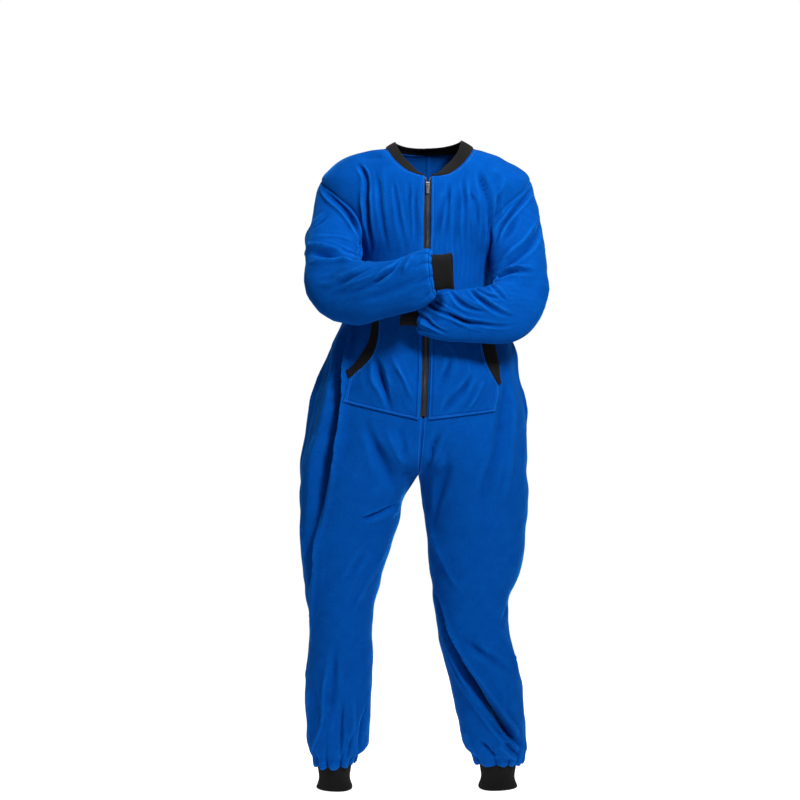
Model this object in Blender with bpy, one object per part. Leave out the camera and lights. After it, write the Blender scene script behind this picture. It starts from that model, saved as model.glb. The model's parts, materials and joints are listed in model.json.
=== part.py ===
"""A worn fleece one-piece pajama: two fronts and two backs that run from shoulder to ankle,
crossed sleeves, a rib collar, rib cuffs, two patch pockets and a long front zip.

Frame: metres, +Z up, the garment faces -Y, the wearer's right side is at -X.
The origin is between the shoulder seams' neck ends, where the garment hangs on the wearer.
"""

import math

import bmesh
import bpy
import numpy as np
from mathutils import Matrix, Vector

# Cloth, in metres
FLEECE = 0.0022
RIB_KNIT = 0.0020
SEAM_GAP = 0.0003
HALF_GAP = SEAM_GAP / 2
SIDES = {"right": -1.0, "left": 1.0}

# Grid sizes: cells across one panel, rows beside the armhole, rows below it, sleeve cells
PANEL_CELLS = 14
ARMHOLE_ROWS = 12
SLEEVE_CELLS = 2 * ARMHOLE_ROWS
SLEEVE_ROWS = 18

# Superellipse powers: 2 is an ellipse, more is squarer
BODY_POWER = 2.25
SLEEVE_POWER = 2.3

# Steps of rings and degrees between which a surface's normal is measured
RING_STEP, ANGLE_STEP = 0.04, 1.8

# Rings of the body above the crotch. z is the height; mid_x and mid_y are the ring's middle;
# right and left are the half widths, front and back the depths, and split goes from 0, one
# ring round the trunk, to 1, two rings that meet at the crotch.
TRUNK_COLUMNS = ("z", "mid_x", "mid_y", "right", "left", "front", "back", "split")
TRUNK_RINGS = [
    (0.024, 0.004, 0.012, 0.078, 0.082, 0.056, 0.060, 0.0),  # inside the collar
    (0.000, 0.004, 0.012, 0.095, 0.101, 0.072, 0.068, 0.0),  # neck ends of the shoulder seams
    (-0.010, 0.004, 0.012, 0.138, 0.126, 0.080, 0.074, 0.0),
    (-0.026, 0.004, 0.012, 0.190, 0.170, 0.091, 0.088, 0.0),
    (-0.047, 0.003, 0.013, 0.220, 0.208, 0.102, 0.100, 0.0),
    (-0.072, 0.002, 0.014, 0.236, 0.229, 0.115, 0.110, 0.0),  # shoulder tips
    (-0.112, 0.001, 0.016, 0.230, 0.228, 0.130, 0.118, 0.0),
    (-0.160, 0.000, 0.020, 0.206, 0.206, 0.140, 0.120, 0.0),
    (-0.205, 0.000, 0.026, 0.176, 0.176, 0.146, 0.118, 0.0),
    (-0.246, -0.001, 0.030, 0.154, 0.154, 0.150, 0.114, 0.0),  # underarms
    (-0.310, -0.001, 0.030, 0.150, 0.150, 0.151, 0.108, 0.0),
    (-0.384, -0.002, 0.028, 0.182, 0.175, 0.147, 0.104, 0.0),
    (-0.460, -0.003, 0.022, 0.212, 0.198, 0.142, 0.108, 0.0),
    (-0.528, -0.005, 0.016, 0.232, 0.213, 0.140, 0.118, 0.0),
    (-0.591, -0.008, 0.010, 0.245, 0.228, 0.138, 0.128, 0.03),
    (-0.646, -0.012, 0.006, 0.253, 0.239, 0.136, 0.134, 0.26),
    (-0.692, -0.015, 0.004, 0.260, 0.245, 0.132, 0.136, 0.62),
    (-0.730, -0.017, 0.003, 0.264, 0.246, 0.127, 0.134, 1.0),  # crotch
]
# Rings of one leg. outer and inner are distances from the trunk's middle at the crotch.
LEG_COLUMNS = ("z", "mid_y", "outer", "inner", "front", "back")
LEG_RINGS = {
    "right": [
        (-0.780, 0.003, 0.268, 0.030, 0.120, 0.130),
        (-0.836, 0.003, 0.268, 0.044, 0.113, 0.122),
        (-0.895, 0.002, 0.268, 0.063, 0.106, 0.113),
        (-0.956, 0.001, 0.261, 0.080, 0.099, 0.104),
        (-1.018, 0.000, 0.253, 0.096, 0.093, 0.096),
        (-1.080, 0.002, 0.249, 0.104, 0.088, 0.092),
        (-1.143, 0.006, 0.252, 0.104, 0.084, 0.092),
        (-1.206, 0.010, 0.257, 0.106, 0.080, 0.090),
        (-1.270, 0.012, 0.259, 0.108, 0.076, 0.084),
        (-1.328, 0.014, 0.256, 0.114, 0.070, 0.076),
        (-1.368, 0.014, 0.250, 0.130, 0.060, 0.064),
        (-1.396, 0.014, 0.238, 0.150, 0.046, 0.048),
        (-1.410, 0.014, 0.233, 0.153, 0.039, 0.040),
    ],
    "left": [
        (-0.780, 0.003, 0.247, 0.008, 0.120, 0.130),
        (-0.836, 0.001, 0.245, 0.013, 0.114, 0.122),
        (-0.895, -0.002, 0.241, 0.021, 0.108, 0.113),
        (-0.956, -0.006, 0.229, 0.028, 0.102, 0.104),
        (-1.018, -0.009, 0.206, 0.033, 0.096, 0.094),
        (-1.080, -0.010, 0.204, 0.043, 0.090, 0.090),
        (-1.143, -0.010, 0.221, 0.056, 0.086, 0.090),
        (-1.206, -0.010, 0.236, 0.070, 0.082, 0.088),
        (-1.270, -0.010, 0.240, 0.086, 0.078, 0.084),
        (-1.328, -0.010, 0.246, 0.101, 0.072, 0.076),
        (-1.362, -0.010, 0.244, 0.112, 0.062, 0.064),
        (-1.387, -0.010, 0.235, 0.129, 0.047, 0.049),
        (-1.400, -0.010, 0.226, 0.140, 0.038, 0.040),
    ],
}
NECK_RING, TIP_RING, UNDERARM_RING = 1, 5, 9
CROTCH_RING = len(TRUNK_RINGS) - 1
ANKLE_RING = CROTCH_RING + len(LEG_RINGS["right"])
SIDE_SEAM = {"right": 168.0, "left": 184.0}
SIDE_SEAM_SWING = 3.0

# Neck: the seam's depth at the front and back, and how square its curve is on each side
NECK_DROP_FRONT, NECK_DROP_BACK = 0.065, 0.012
NECK_CURVE = {"right": 2.4, "left": 3.1}
NECK_ROWS = {"front": 8, "back": 6}
NECK_AXIS = np.array([0.004, 0.0, 0.0])
ARMHOLE_FRONT, ARMHOLE_BACK = 46.0, 36.0
ARMHOLE_SQUARE = 0.85


def spline(rows, at):
    """Catmull-Rom curve through evenly numbered rows, read at the row numbers in at."""
    rows, at = np.asarray(rows, float), np.asarray(at, float)
    low = np.clip(np.floor(at).astype(int), 0, len(rows) - 2)
    t = (at - low).reshape(at.shape + (1,) * (rows.ndim - 1))
    ends = np.concatenate([2 * rows[:1] - rows[1:2], rows, 2 * rows[-1:] - rows[-2:-1]])
    a, b, c, d = (ends[low + i] for i in range(4))
    return b + 0.5 * t * (c - a + t * (2 * a - 5 * b + 4 * c - d + t * (3 * (b - c) + d - a)))


def signed_power(value, power):
    return np.sign(value) * np.abs(value) ** power


def body_columns(side):
    """The body's ring table for one side as arrays: z, mid_x, mid_y, outer, split, front, back."""
    trunk = dict(zip(TRUNK_COLUMNS, np.array(TRUNK_RINGS).T))
    leg = dict(zip(LEG_COLUMNS, np.array(LEG_RINGS[side]).T))
    leg_split = (leg["outer"] + leg["inner"]) / (leg["outer"] - leg["inner"])
    joined = {
        name: np.concatenate([trunk[name], leg[name]]) for name in ("z", "mid_y", "front", "back")
    }
    joined["mid_x"] = np.concatenate([trunk["mid_x"], np.full(len(leg["z"]), trunk["mid_x"][-1])])
    joined["outer"] = np.concatenate([trunk[side], leg["outer"]])
    joined["split"] = (trunk["split"], np.concatenate([[1.0], leg_split]))
    return joined


COLUMNS = {side: body_columns(side) for side in SIDES}


def split_at(side, ring):
    """How far the ring has split into two legs; the trunk's part is the same on both sides."""
    trunk, leg = COLUMNS[side]["split"]
    ring = np.asarray(ring, float)
    above = spline(trunk, np.minimum(ring, CROTCH_RING))
    below = spline(leg, np.maximum(ring - CROTCH_RING, 0.0))
    return np.where(ring <= CROTCH_RING, np.clip(above, 0.0, 1.0), np.maximum(below, 1.0))


def column(side, name, ring):
    return spline(COLUMNS[side][name], ring)


def middle_and_width(side, ring):
    """Middle and half width of one side's ring, from the trunk's middle plane outwards."""
    split = split_at(side, ring)
    width = column(side, "outer", ring) / (1 + split)
    return split * width, width


def body_point(side, ring, angle):
    """Superellipse ring of one side: 0 degrees is the inseam, 90 front, 180 side, 270 back."""
    ring, angle = np.broadcast_arrays(np.asarray(ring, float), np.radians(angle))
    middle, width = middle_and_width(side, ring)
    across = signed_power(np.cos(angle), 2 / BODY_POWER)
    along = signed_power(np.sin(angle), 2 / BODY_POWER)
    depth = np.where(along > 0, column(side, "front", ring), column(side, "back", ring))
    x = column(side, "mid_x", ring) + SIDES[side] * (middle - width * across + HALF_GAP)
    y = column(side, "mid_y", ring) - depth * along
    return np.stack([x, y, column(side, "z", ring)], axis=-1)


def angle_at(side, ring, distance):
    """Front angle at which the ring is this far out from the trunk's middle plane."""
    middle, width = middle_and_width(side, ring)
    share = np.clip((middle - distance) / width, -1.0, 1.0)
    return np.degrees(np.arccos(signed_power(share, BODY_POWER / 2)))


def ring_at(side, z):
    """Ring number at a height."""
    rings = np.linspace(0, ANKLE_RING, 1200)
    return np.interp(-np.asarray(z, float), -column(side, "z", rings), rings)


def unit(vectors):
    return vectors / np.maximum(np.linalg.norm(vectors, axis=-1, keepdims=True), 1e-12)


def surface_normal(surface, side, ring, angle):
    """Outward normal of a surface of rings and angles, from central differences."""
    ring, angle = np.broadcast_arrays(np.asarray(ring, float), np.asarray(angle, float))
    lower = np.minimum(ring + RING_STEP, ANKLE_RING)
    upper = np.maximum(ring - RING_STEP, 0.0)
    down = surface(side, lower, angle) - surface(side, upper, angle)
    around = surface(side, ring, angle + ANGLE_STEP) - surface(side, ring, angle - ANGLE_STEP)
    return SIDES[side] * unit(np.cross(down, around))


def body_normal(side, ring, angle):
    """Outward normal of the body without its folds."""
    return surface_normal(body_point, side, ring, angle)


# ---------------------------------------------------------------- folds in the cloth
# A fold is a soft ridge (depth above 0) or trough (below 0) from one place to another, width
# its half width. On the body z is the height and angle the ring's angle in degrees.
FOLD_COLUMNS = ("side", "along_a", "angle_a", "along_b", "angle_b", "width", "depth")
BODY_FOLDS = [
    # chest, below the right shoulder
    ("right", -0.045, 126, -0.258, 134, 0.016, -0.011),
    ("right", -0.040, 118, -0.250, 116, 0.013, -0.007),
    # chest, below the left shoulder
    ("left", -0.050, 112, -0.262, 146, 0.016, -0.011),
    ("left", -0.070, 120, -0.262, 162, 0.013, -0.006),
    # flanks: a deep pleat from the waist to each thigh, with its ridge beside it
    ("right", -0.345, 164, -0.720, 128, 0.020, -0.019),
    ("right", -0.630, 132, -1.010, 146, 0.020, -0.013),
    ("right", -0.540, 160, -0.880, 146, 0.018, 0.008),
    ("left", -0.380, 160, -0.640, 154, 0.018, -0.010),
    ("left", -0.600, 130, -0.840, 92, 0.022, -0.009),
    ("left", -0.420, 168, -0.700, 150, 0.018, 0.007),
    # from the crotch over the thighs
    ("right", -0.580, 120, -0.772, 40, 0.020, -0.011),
    ("right", -0.600, 104, -0.705, 64, 0.016, 0.005),
    ("right", -0.780, 22, -0.815, 80, 0.016, -0.008),
    ("right", -0.885, 20, -1.028, 68, 0.018, 0.006),
    ("left", -0.622, 94, -0.850, 36, 0.020, -0.010),
    ("left", -0.765, 12, -0.990, 76, 0.018, 0.007),
    # knees, shins and calves
    ("right", -1.185, 106, -1.372, 136, 0.017, 0.008),
    ("right", -1.138, 98, -1.296, 104, 0.018, -0.006),
    ("right", -1.230, 86, -1.386, 74, 0.016, -0.008),
    ("right", -1.240, 34, -1.380, 36, 0.016, -0.007),
    ("left", -1.012, 16, -1.330, 116, 0.019, -0.016),
    ("left", -1.140, 24, -1.322, 96, 0.016, 0.008),
    ("left", -1.040, 142, -1.200, 160, 0.016, 0.006),
    ("left", -1.100, 78, -1.152, 134, 0.018, -0.008),
    # back: below the shoulders, above the seat, below it and behind the knees
    ("right", -0.100, 234, -0.280, 224, 0.020, -0.009),
    ("left", -0.100, 232, -0.280, 224, 0.020, -0.009),
    ("right", -0.340, 240, -0.520, 226, 0.024, -0.011),
    ("left", -0.350, 242, -0.510, 228, 0.024, -0.011),
    ("right", -0.720, 316, -0.810, 250, 0.024, -0.011),
    ("left", -0.725, 318, -0.815, 250, 0.024, -0.011),
    ("right", -1.000, 330, -1.040, 220, 0.024, -0.010),
    ("left", -1.000, 330, -1.050, 220, 0.024, -0.011),
    ("right", -1.080, 320, -1.120, 230, 0.024, 0.008),
    ("left", -1.090, 320, -1.130, 230, 0.024, 0.008),
]
# Gathers where a leg meets its ankle cuff
ANKLE_GATHERS = 8
ANKLE_GATHER_DEPTH = 0.0075
ANKLE_GATHER_REACH = 0.110
ANKLE_TURN_REACH = 0.03
# Gathers start at this share of their depth at the seam and reach it all a sixth of the way up
GATHER_START, GATHER_RISE, GATHER_FADE = 0.45, 6.0, 1.6

# Sleeve rings. x (outwards from the middle plane), y and z are the ring's middle; turn is the
# ring axis's turn in the frontal plane: 0 points outwards, 90 down, 180 to the middle; lean is
# how far the axis leans forward; side and front are the half sizes.
SLEEVE_COLUMNS = ("x", "y", "z", "turn", "lean", "side", "front")
SLEEVE_RINGS = {
    "right": [
        (0.184, 0.002, -0.170, 16, 0, 0.096, 0.090),
        (0.186, -0.012, -0.186, 32, 10, 0.083, 0.079),
        (0.193, -0.036, -0.208, 54, 24, 0.073, 0.069),
        (0.202, -0.062, -0.236, 78, 34, 0.067, 0.063),
        (0.206, -0.088, -0.268, 102, 38, 0.065, 0.059),
        (0.196, -0.116, -0.296, 132, 40, 0.069, 0.055),
        (0.172, -0.144, -0.312, 160, 38, 0.071, 0.051),
        (0.140, -0.172, -0.316, 177, 32, 0.068, 0.048),
        (0.104, -0.196, -0.312, 184, 26, 0.062, 0.044),
        (0.066, -0.214, -0.304, 187, 21, 0.058, 0.040),
        (0.034, -0.226, -0.293, 189, 16, 0.058, 0.039),
        (0.010, -0.233, -0.282, 188, 11, 0.056, 0.037),
        (-0.004, -0.236, -0.275, 186, 8, 0.048, 0.032),
        (-0.0115, -0.237, -0.273, 185, 6, 0.0375, 0.026),
    ],
    "left": [
        (0.184, 0.002, -0.170, 16, 0, 0.096, 0.090),
        (0.186, -0.010, -0.188, 32, 10, 0.083, 0.079),
        (0.192, -0.032, -0.212, 54, 22, 0.073, 0.068),
        (0.198, -0.056, -0.244, 74, 30, 0.066, 0.061),
        (0.202, -0.078, -0.284, 92, 32, 0.064, 0.056),
        (0.198, -0.102, -0.322, 118, 34, 0.066, 0.050),
        (0.180, -0.126, -0.350, 150, 32, 0.069, 0.045),
        (0.152, -0.144, -0.362, 170, 24, 0.066, 0.041),
        (0.119, -0.154, -0.366, 178, 16, 0.061, 0.037),
        (0.084, -0.158, -0.366, 181, 10, 0.057, 0.034),
        (0.049, -0.158, -0.367, 182, 5, 0.054, 0.031),
        (0.014, -0.156, -0.367, 182, 2, 0.048, 0.031),
        (-0.0105, -0.153, -0.365, 182, 0, 0.038, 0.028),
        (-0.0175, -0.151, -0.359, 182, 0, 0.030, 0.024),
    ],
}
SLEEVE_RING_PITCH = 0.036
# The armhole's form fades out over this many sleeve rings; a sleeve stays this clear of the
# trunk; and the rows from first to last are eased a few times where it lies beside it
ARMHOLE_FADE = 2.6
BESIDE_BODY = 0.008
EASING_PASSES, FIRST_EASED, LAST_EASED = 3, 2, 6
# Folds of the sleeves: along is the sleeve ring, angle is 0 on the shoulder's side, 90 in front
SLEEVE_FOLDS = [
    ("right", 1.4, 60, 4.6, 150, 0.016, -0.011),
    ("right", 2.0, 30, 4.8, 110, 0.016, 0.006),
    ("right", 4.2, 20, 5.4, 150, 0.014, -0.010),
    ("right", 5.2, 40, 6.8, 160, 0.015, 0.005),
    ("right", 6.4, 60, 9.6, 150, 0.016, -0.007),
    ("right", 2.6, 320, 4.6, 250, 0.016, -0.008),
    ("left", 1.4, 50, 4.4, 150, 0.016, -0.011),
    ("left", 3.0, 350, 5.0, 120, 0.015, -0.011),
    ("left", 4.6, 60, 5.8, 170, 0.015, -0.008),
    ("left", 6.0, 60, 9.8, 150, 0.015, -0.009),
    ("left", 5.6, 30, 9.4, 105, 0.015, 0.006),
    ("left", 2.6, 320, 4.6, 250, 0.016, -0.008),
]
WRIST_GATHERS = 7
WRIST_GATHER_DEPTH = 0.0036
WRIST_GATHER_REACH = 0.085

# Cuffs: length, and their size along it as a share of their size at the seam
CUFFS = {
    "wrist": (0.040, (1.0, 0.97, 0.98, 1.03)),
    "ankle": (0.053, (1.0, 0.92, 0.92, 1.05)),
}
CUFF_CELLS = 28
CUFF_WALL = 0.0026

# Neckband: it leans towards the neck and tapers to its ends at the zip; the right side shows
# less of its height than the left
BAND_HEIGHT = {"right": 0.025, "left": 0.032}
BAND_SIDE_REACH = 0.06
BAND_END_HEIGHT = 0.005
BAND_TAPER = 0.046
BAND_LEAN = 60.0
BAND_ROWS = 2
BAND_WALL = 0.0026

# Pockets, from the top down: distance from the middle plane, and height, of the hand opening
# and outer edge, and of the binding's outer edge
POCKET_INNER_EDGE = (0.0105, -0.350, -0.594)
POCKET_EDGE = {
    "right": [(0.101, -0.350), (0.101, -0.378), (0.103, -0.412), (0.109, -0.441),
              (0.124, -0.468), (0.163, -0.507), (0.168, -0.533), (0.172, -0.559)],
    "left": [(0.112, -0.350), (0.115, -0.390), (0.120, -0.426), (0.126, -0.451),
             (0.136, -0.481), (0.161, -0.522), (0.160, -0.544), (0.155, -0.579)],
}
BINDING_EDGE = {
    "right": [(0.117, -0.350), (0.117, -0.374), (0.119, -0.405), (0.127, -0.434),
              (0.142, -0.459), (0.167, -0.491)],
    "left": [(0.134, -0.350), (0.140, -0.388), (0.149, -0.424), (0.156, -0.456),
             (0.163, -0.489), (0.168, -0.517)],
}
OPENING_POINTS, OPENING_ROWS = 6, 8
POCKET_GAP, BINDING_GAP = 0.0018, 0.0006
POCKET_CELLS, BINDING_CELLS = 7, 2

# Zip
ZIP_HALF_OPENING = 0.0070
ZIP_TOP_Z, ZIP_BOTTOM_Z = -0.066, -0.591
ZIP_CLOSE_LENGTH = 0.004
ZIP_ROWS = 28
TAPE_WALL = 0.0010
TAPE_INNER, TAPE_OUTER = 0.0016, 0.0140
TAPE_GAP = 0.0014
CHAIN_HALF_WIDTH, CHAIN_WALL, CHAIN_GAP = 0.0030, 0.0020, 0.0003
SLIDER_Z = -0.087
SLIDER_SIZE = (0.0085, 0.0024, 0.0130)
BRIDGE_RADIUS, BRIDGE_WIRE = 0.0040, 0.0008
TAB_SIZE = (0.0062, 0.0010, 0.0200)
TAB_SLOT = (0.0032, 0.0060)
TAB_BAR_HALF, TAB_STAND_OFF, TAB_DROP = 0.0007, 0.0012, -0.0006

BLUE = (0.004, 0.090, 0.480, 1.0)
BLACK = (0.010, 0.009, 0.010, 1.0)
METAL = (0.62, 0.62, 0.64, 1.0)


def fold_heights(rows, side, along, around, arc):
    """Sum of the folds at a place: along in metres, around in degrees, arc metres a degree."""
    heights = np.zeros(np.broadcast(along, around).shape)
    for values in rows:
        fold = dict(zip(FOLD_COLUMNS, values))
        if fold["side"] != side:
            continue
        run = fold["along_b"] - fold["along_a"]
        turn = (fold["angle_b"] - fold["angle_a"]) * arc
        length = np.hypot(run, turn)
        from_a = along - fold["along_a"]
        round_a = (around - fold["angle_a"]) * arc
        share = (from_a * run + round_a * turn) / length**2
        off = (from_a * turn - round_a * run) / length
        ends = np.clip(1.25 - 1.25 * np.abs(2 * share - 1), 0.0, 1.0)
        ends = ends * ends * (3 - 2 * ends)
        heights = heights + fold["depth"] * ends * np.exp(-((off / fold["width"]) ** 2))
    return heights


def gather_heights(distance, angle, count, depth, reach):
    """Waves that are highest a little way from a cuff's seam and die out over their reach."""
    share = np.clip(distance / reach, 0.0, 1.0)
    rise = GATHER_START + (1 - GATHER_START) * np.clip(share * GATHER_RISE, 0.0, 1.0)
    fade = rise * (1 - share) ** GATHER_FADE
    around = np.radians(angle)
    wave = np.cos(count * around + 0.6 * np.sin(2 * around)) + 0.3 * np.cos(3 * around + 1.0)
    return depth * fade * wave


def folded_body_point(side, ring, angle):
    """The body's surface with its folds and gathers."""
    ring, angle = np.broadcast_arrays(np.asarray(ring, float), np.asarray(angle, float))
    z = column(side, "z", ring)
    arc = np.radians(0.5 * (middle_and_width(side, ring)[1] + column(side, "front", ring)))
    turned = np.mod(angle, 360.0)
    height = fold_heights(BODY_FOLDS, side, z, turned, arc)
    ankle_z = COLUMNS[side]["z"][-1]
    height = height + gather_heights(
        z - ankle_z, turned, ANKLE_GATHERS, ANKLE_GATHER_DEPTH, ANKLE_GATHER_REACH
    )
    normal = body_normal(side, ring, angle)
    flat = normal * [1.0, 1.0, 0.0]
    near_ankle = np.clip(1 - (z - ankle_z) / ANKLE_TURN_REACH, 0.0, 1.0)[..., None]
    direction = unit(normal * (1 - near_ankle) + unit(flat) * near_ankle)
    return body_point(side, ring, angle) + height[..., None] * direction


def folded_body_normal(side, ring, angle):
    """Outward normal of the body with its folds and gathers."""
    return surface_normal(folded_body_point, side, ring, angle)


# ---------------------------------------------------------------- seams of the body
def centre_opening(z):
    """Half the opening that the zip fills at a height; it closes below the zip's end."""
    return ZIP_HALF_OPENING * np.clip((z - ZIP_BOTTOM_Z) / ZIP_CLOSE_LENGTH, 0.0, 1.0)


def to_face(face, angle):
    """Front angles as they are; on the back they're mirrored."""
    return angle if face == "front" else 360.0 - angle


def neck_place(side, face, share):
    """Ring and angle on the neck seam: share 0 at the shoulder seam, 1 at the middle."""
    wide = COLUMNS[side]["outer"][NECK_RING]
    top_z = COLUMNS[side]["z"][NECK_RING]
    inner = ZIP_HALF_OPENING if face == "front" else 0.0
    drop = NECK_DROP_FRONT if face == "front" else NECK_DROP_BACK
    distance = inner + (wide - inner) * np.cos(np.radians(90.0 * np.asarray(share, float)))
    ring = ring_at(side, top_z - drop * (1 - (distance / wide) ** NECK_CURVE[side]))
    return ring, to_face(face, angle_at(side, ring, distance))


def armhole_place(face, share):
    """Ring and angle on the armhole: share 0 at the shoulder tip, 1 at the underarm."""
    share = np.asarray(share, float)
    reach = ARMHOLE_FRONT if face == "front" else ARMHOLE_BACK
    ring = TIP_RING + (UNDERARM_RING - TIP_RING) * share
    bulge = np.abs(np.sin(np.pi * share)) ** ARMHOLE_SQUARE
    return ring, to_face(face, 180.0 - reach * bulge)


def side_seam_angle(side, ring):
    """The side seam starts at the underarm and swings to its place over a few rings."""
    share = np.clip((np.asarray(ring, float) - UNDERARM_RING) / SIDE_SEAM_SWING, 0.0, 1.0)
    share = share * share * (3 - 2 * share)
    return 180.0 + (SIDE_SEAM[side] - 180.0) * share


def centre_angle(side, face, ring):
    """Angle of the centre seam, and of the inseam below the crotch."""
    opening = centre_opening(column(side, "z", ring)) if face == "front" else 0.0
    return to_face(face, angle_at(side, ring, opening))


def panel_places(side, face):
    """Grid of rings and angles: rows from the shoulder seam to the ankle, columns outwards."""
    neck_rows = NECK_ROWS[face]
    neck_ring, neck_angle = neck_place(side, face, np.linspace(0, 1, neck_rows + 1))
    centre_rows = ARMHOLE_ROWS - neck_rows
    centre_ring = np.linspace(neck_ring[-1], UNDERARM_RING, centre_rows + 1)[1:]
    closing = ring_at(side, ZIP_BOTTOM_Z + ZIP_CLOSE_LENGTH)
    low_ring = np.sort(np.append(np.arange(UNDERARM_RING + 1.0, ANKLE_RING + 1.0), closing))
    inner_ring = np.concatenate([neck_ring, centre_ring, low_ring])
    lower = np.concatenate([centre_ring, low_ring])
    inner_angle = np.concatenate([neck_angle, centre_angle(side, face, lower)])
    arm_ring, arm_angle = armhole_place(face, np.linspace(0, 1, ARMHOLE_ROWS + 1))
    outer_ring = np.concatenate([arm_ring, low_ring])
    outer_angle = np.concatenate([arm_angle, side_seam_angle(side, low_ring)])
    share = np.linspace(0, 1, PANEL_CELLS + 1)
    ring = inner_ring[:, None] * (1 - share) + outer_ring[:, None] * share
    angle = inner_angle[:, None] * (1 - share) + outer_angle[:, None] * share
    return ring, angle


# ---------------------------------------------------------------- sleeves
def sleeve_ring_frame(side, at):
    """Middle, directions and half sizes of the sleeve's rings at ring numbers."""
    rows = dict(zip(SLEEVE_COLUMNS, spline(np.array(SLEEVE_RINGS[side]), at).T))
    out = SIDES[side]
    middle = np.stack([out * rows["x"], rows["y"], rows["z"]], axis=-1)
    turn, lean = np.radians(rows["turn"]), np.radians(rows["lean"])
    axis = np.stack(
        [out * np.cos(turn) * np.cos(lean), -np.sin(lean), -np.sin(turn) * np.cos(lean)], axis=-1
    )
    forward = np.array([0.0, -1.0, 0.0])
    to_front = unit(forward - (axis @ forward)[..., None] * axis)
    to_side = -out * np.cross(axis, to_front)
    return middle, axis, to_front, to_side, rows["front"], rows["side"]


def plain_sleeve_point(side, at, angle):
    """Superellipse rings of the sleeve: 0 degrees on the shoulder's side, 90 in front."""
    middle, _, to_front, to_side, front, wide = sleeve_ring_frame(side, at)
    across = signed_power(np.cos(np.radians(angle)), 2 / SLEEVE_POWER)
    along = signed_power(np.sin(np.radians(angle)), 2 / SLEEVE_POWER)
    ring = across[None, :, None] * (wide[:, None] * to_side)[:, None, :]
    ring = ring + along[None, :, None] * (front[:, None] * to_front)[:, None, :]
    return middle[:, None, :] + ring


def armhole_points(side):
    """The armhole's points all round, from the shoulder tip over the front, with their normals."""
    share = np.linspace(0, 1, ARMHOLE_ROWS + 1)
    front = armhole_place("front", share)
    back = armhole_place("back", share[::-1][1:-1])
    ring = np.concatenate([front[0], back[0]])
    angle = np.concatenate([front[1], back[1]])
    return folded_body_point(side, ring, angle), folded_body_normal(side, ring, angle)


def sleeve_points(side):
    """The sleeve's grid: the armhole fades into the plain rings, then folds and gathers."""
    at = np.linspace(0, len(SLEEVE_RINGS[side]) - 1, SLEEVE_ROWS + 1)
    angle = np.arange(SLEEVE_CELLS) * 360.0 / SLEEVE_CELLS
    plain = plain_sleeve_point(side, at, angle)
    hole, _ = armhole_points(side)
    fade = np.clip(1 - at / ARMHOLE_FADE, 0.0, 1.0)
    fade = (fade * fade * (3 - 2 * fade))[:, None, None]
    middle, _, to_front, to_side, front, wide = sleeve_ring_frame(side, at)
    arc = np.radians(0.5 * (front + wide))[:, None]
    along = (at * SLEEVE_RING_PITCH)[:, None]
    rows = [(s, a * SLEEVE_RING_PITCH, b, c * SLEEVE_RING_PITCH, d, e, f)
            for s, a, b, c, d, e, f in SLEEVE_FOLDS]
    height = fold_heights(rows, side, along, angle[None, :], arc)
    height = height + gather_heights(
        along[-1] - along, angle[None, :], WRIST_GATHERS, WRIST_GATHER_DEPTH, WRIST_GATHER_REACH
    )
    outward = unit(plain - middle[:, None, :])
    points = plain + fade * (hole - plain[0]) + height[..., None] * outward
    clearance = np.clip(at, 0.0, 1.0)[:, None] * BESIDE_BODY
    for _ in range(EASING_PASSES):
        points = beside_body(side, points, clearance)
        eased = 0.5 * points[1:-1] + 0.25 * (points[:-2] + points[2:])
        points[FIRST_EASED:LAST_EASED] = eased[FIRST_EASED - 1 : LAST_EASED - 1]
    return beside_body(side, points, clearance)


def beside_body(side, points, clearance):
    """Points that would lie in the trunk move out to its surface, plus the clearance."""
    ring = ring_at(side, points[..., 2])
    from_middle = SIDES[side] * (points[..., 0] - column(side, "mid_x", ring))
    forward = column(side, "mid_y", ring) - points[..., 1]
    front, back = column(side, "front", ring), column(side, "back", ring)
    wide = column(side, "outer", ring) + clearance
    deep = np.where(forward > 0, front, back) + clearance
    size = (np.abs(from_middle / wide) ** BODY_POWER + np.abs(forward / deep) ** BODY_POWER)
    size = size ** (1 / BODY_POWER)
    grow = np.where((clearance > 0) & (size < 1.0), 1 / np.maximum(size, 0.2), 1.0)
    moved = points.copy()
    moved[..., 0] = column(side, "mid_x", ring) + SIDES[side] * from_middle * grow
    moved[..., 1] = column(side, "mid_y", ring) - forward * grow
    return moved


# ---------------------------------------------------------------- walls
def tube_normals(points, side_sign):
    """Outward normals of a grid that wraps round in columns: the mean of the cells' normals."""
    wrapped = np.concatenate([points[:, -1:], points, points[:, :1]], axis=1)
    falling = wrapped[1:, 1:] - wrapped[:-1, :-1]
    rising = wrapped[:-1, 1:] - wrapped[1:, :-1]
    cells = unit(np.cross(rising, falling))
    cells = np.concatenate([cells[:1], cells, cells[-1:]])
    total = cells[:-1, :-1] + cells[:-1, 1:] + cells[1:, :-1] + cells[1:, 1:]
    return side_sign * unit(total)


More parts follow.
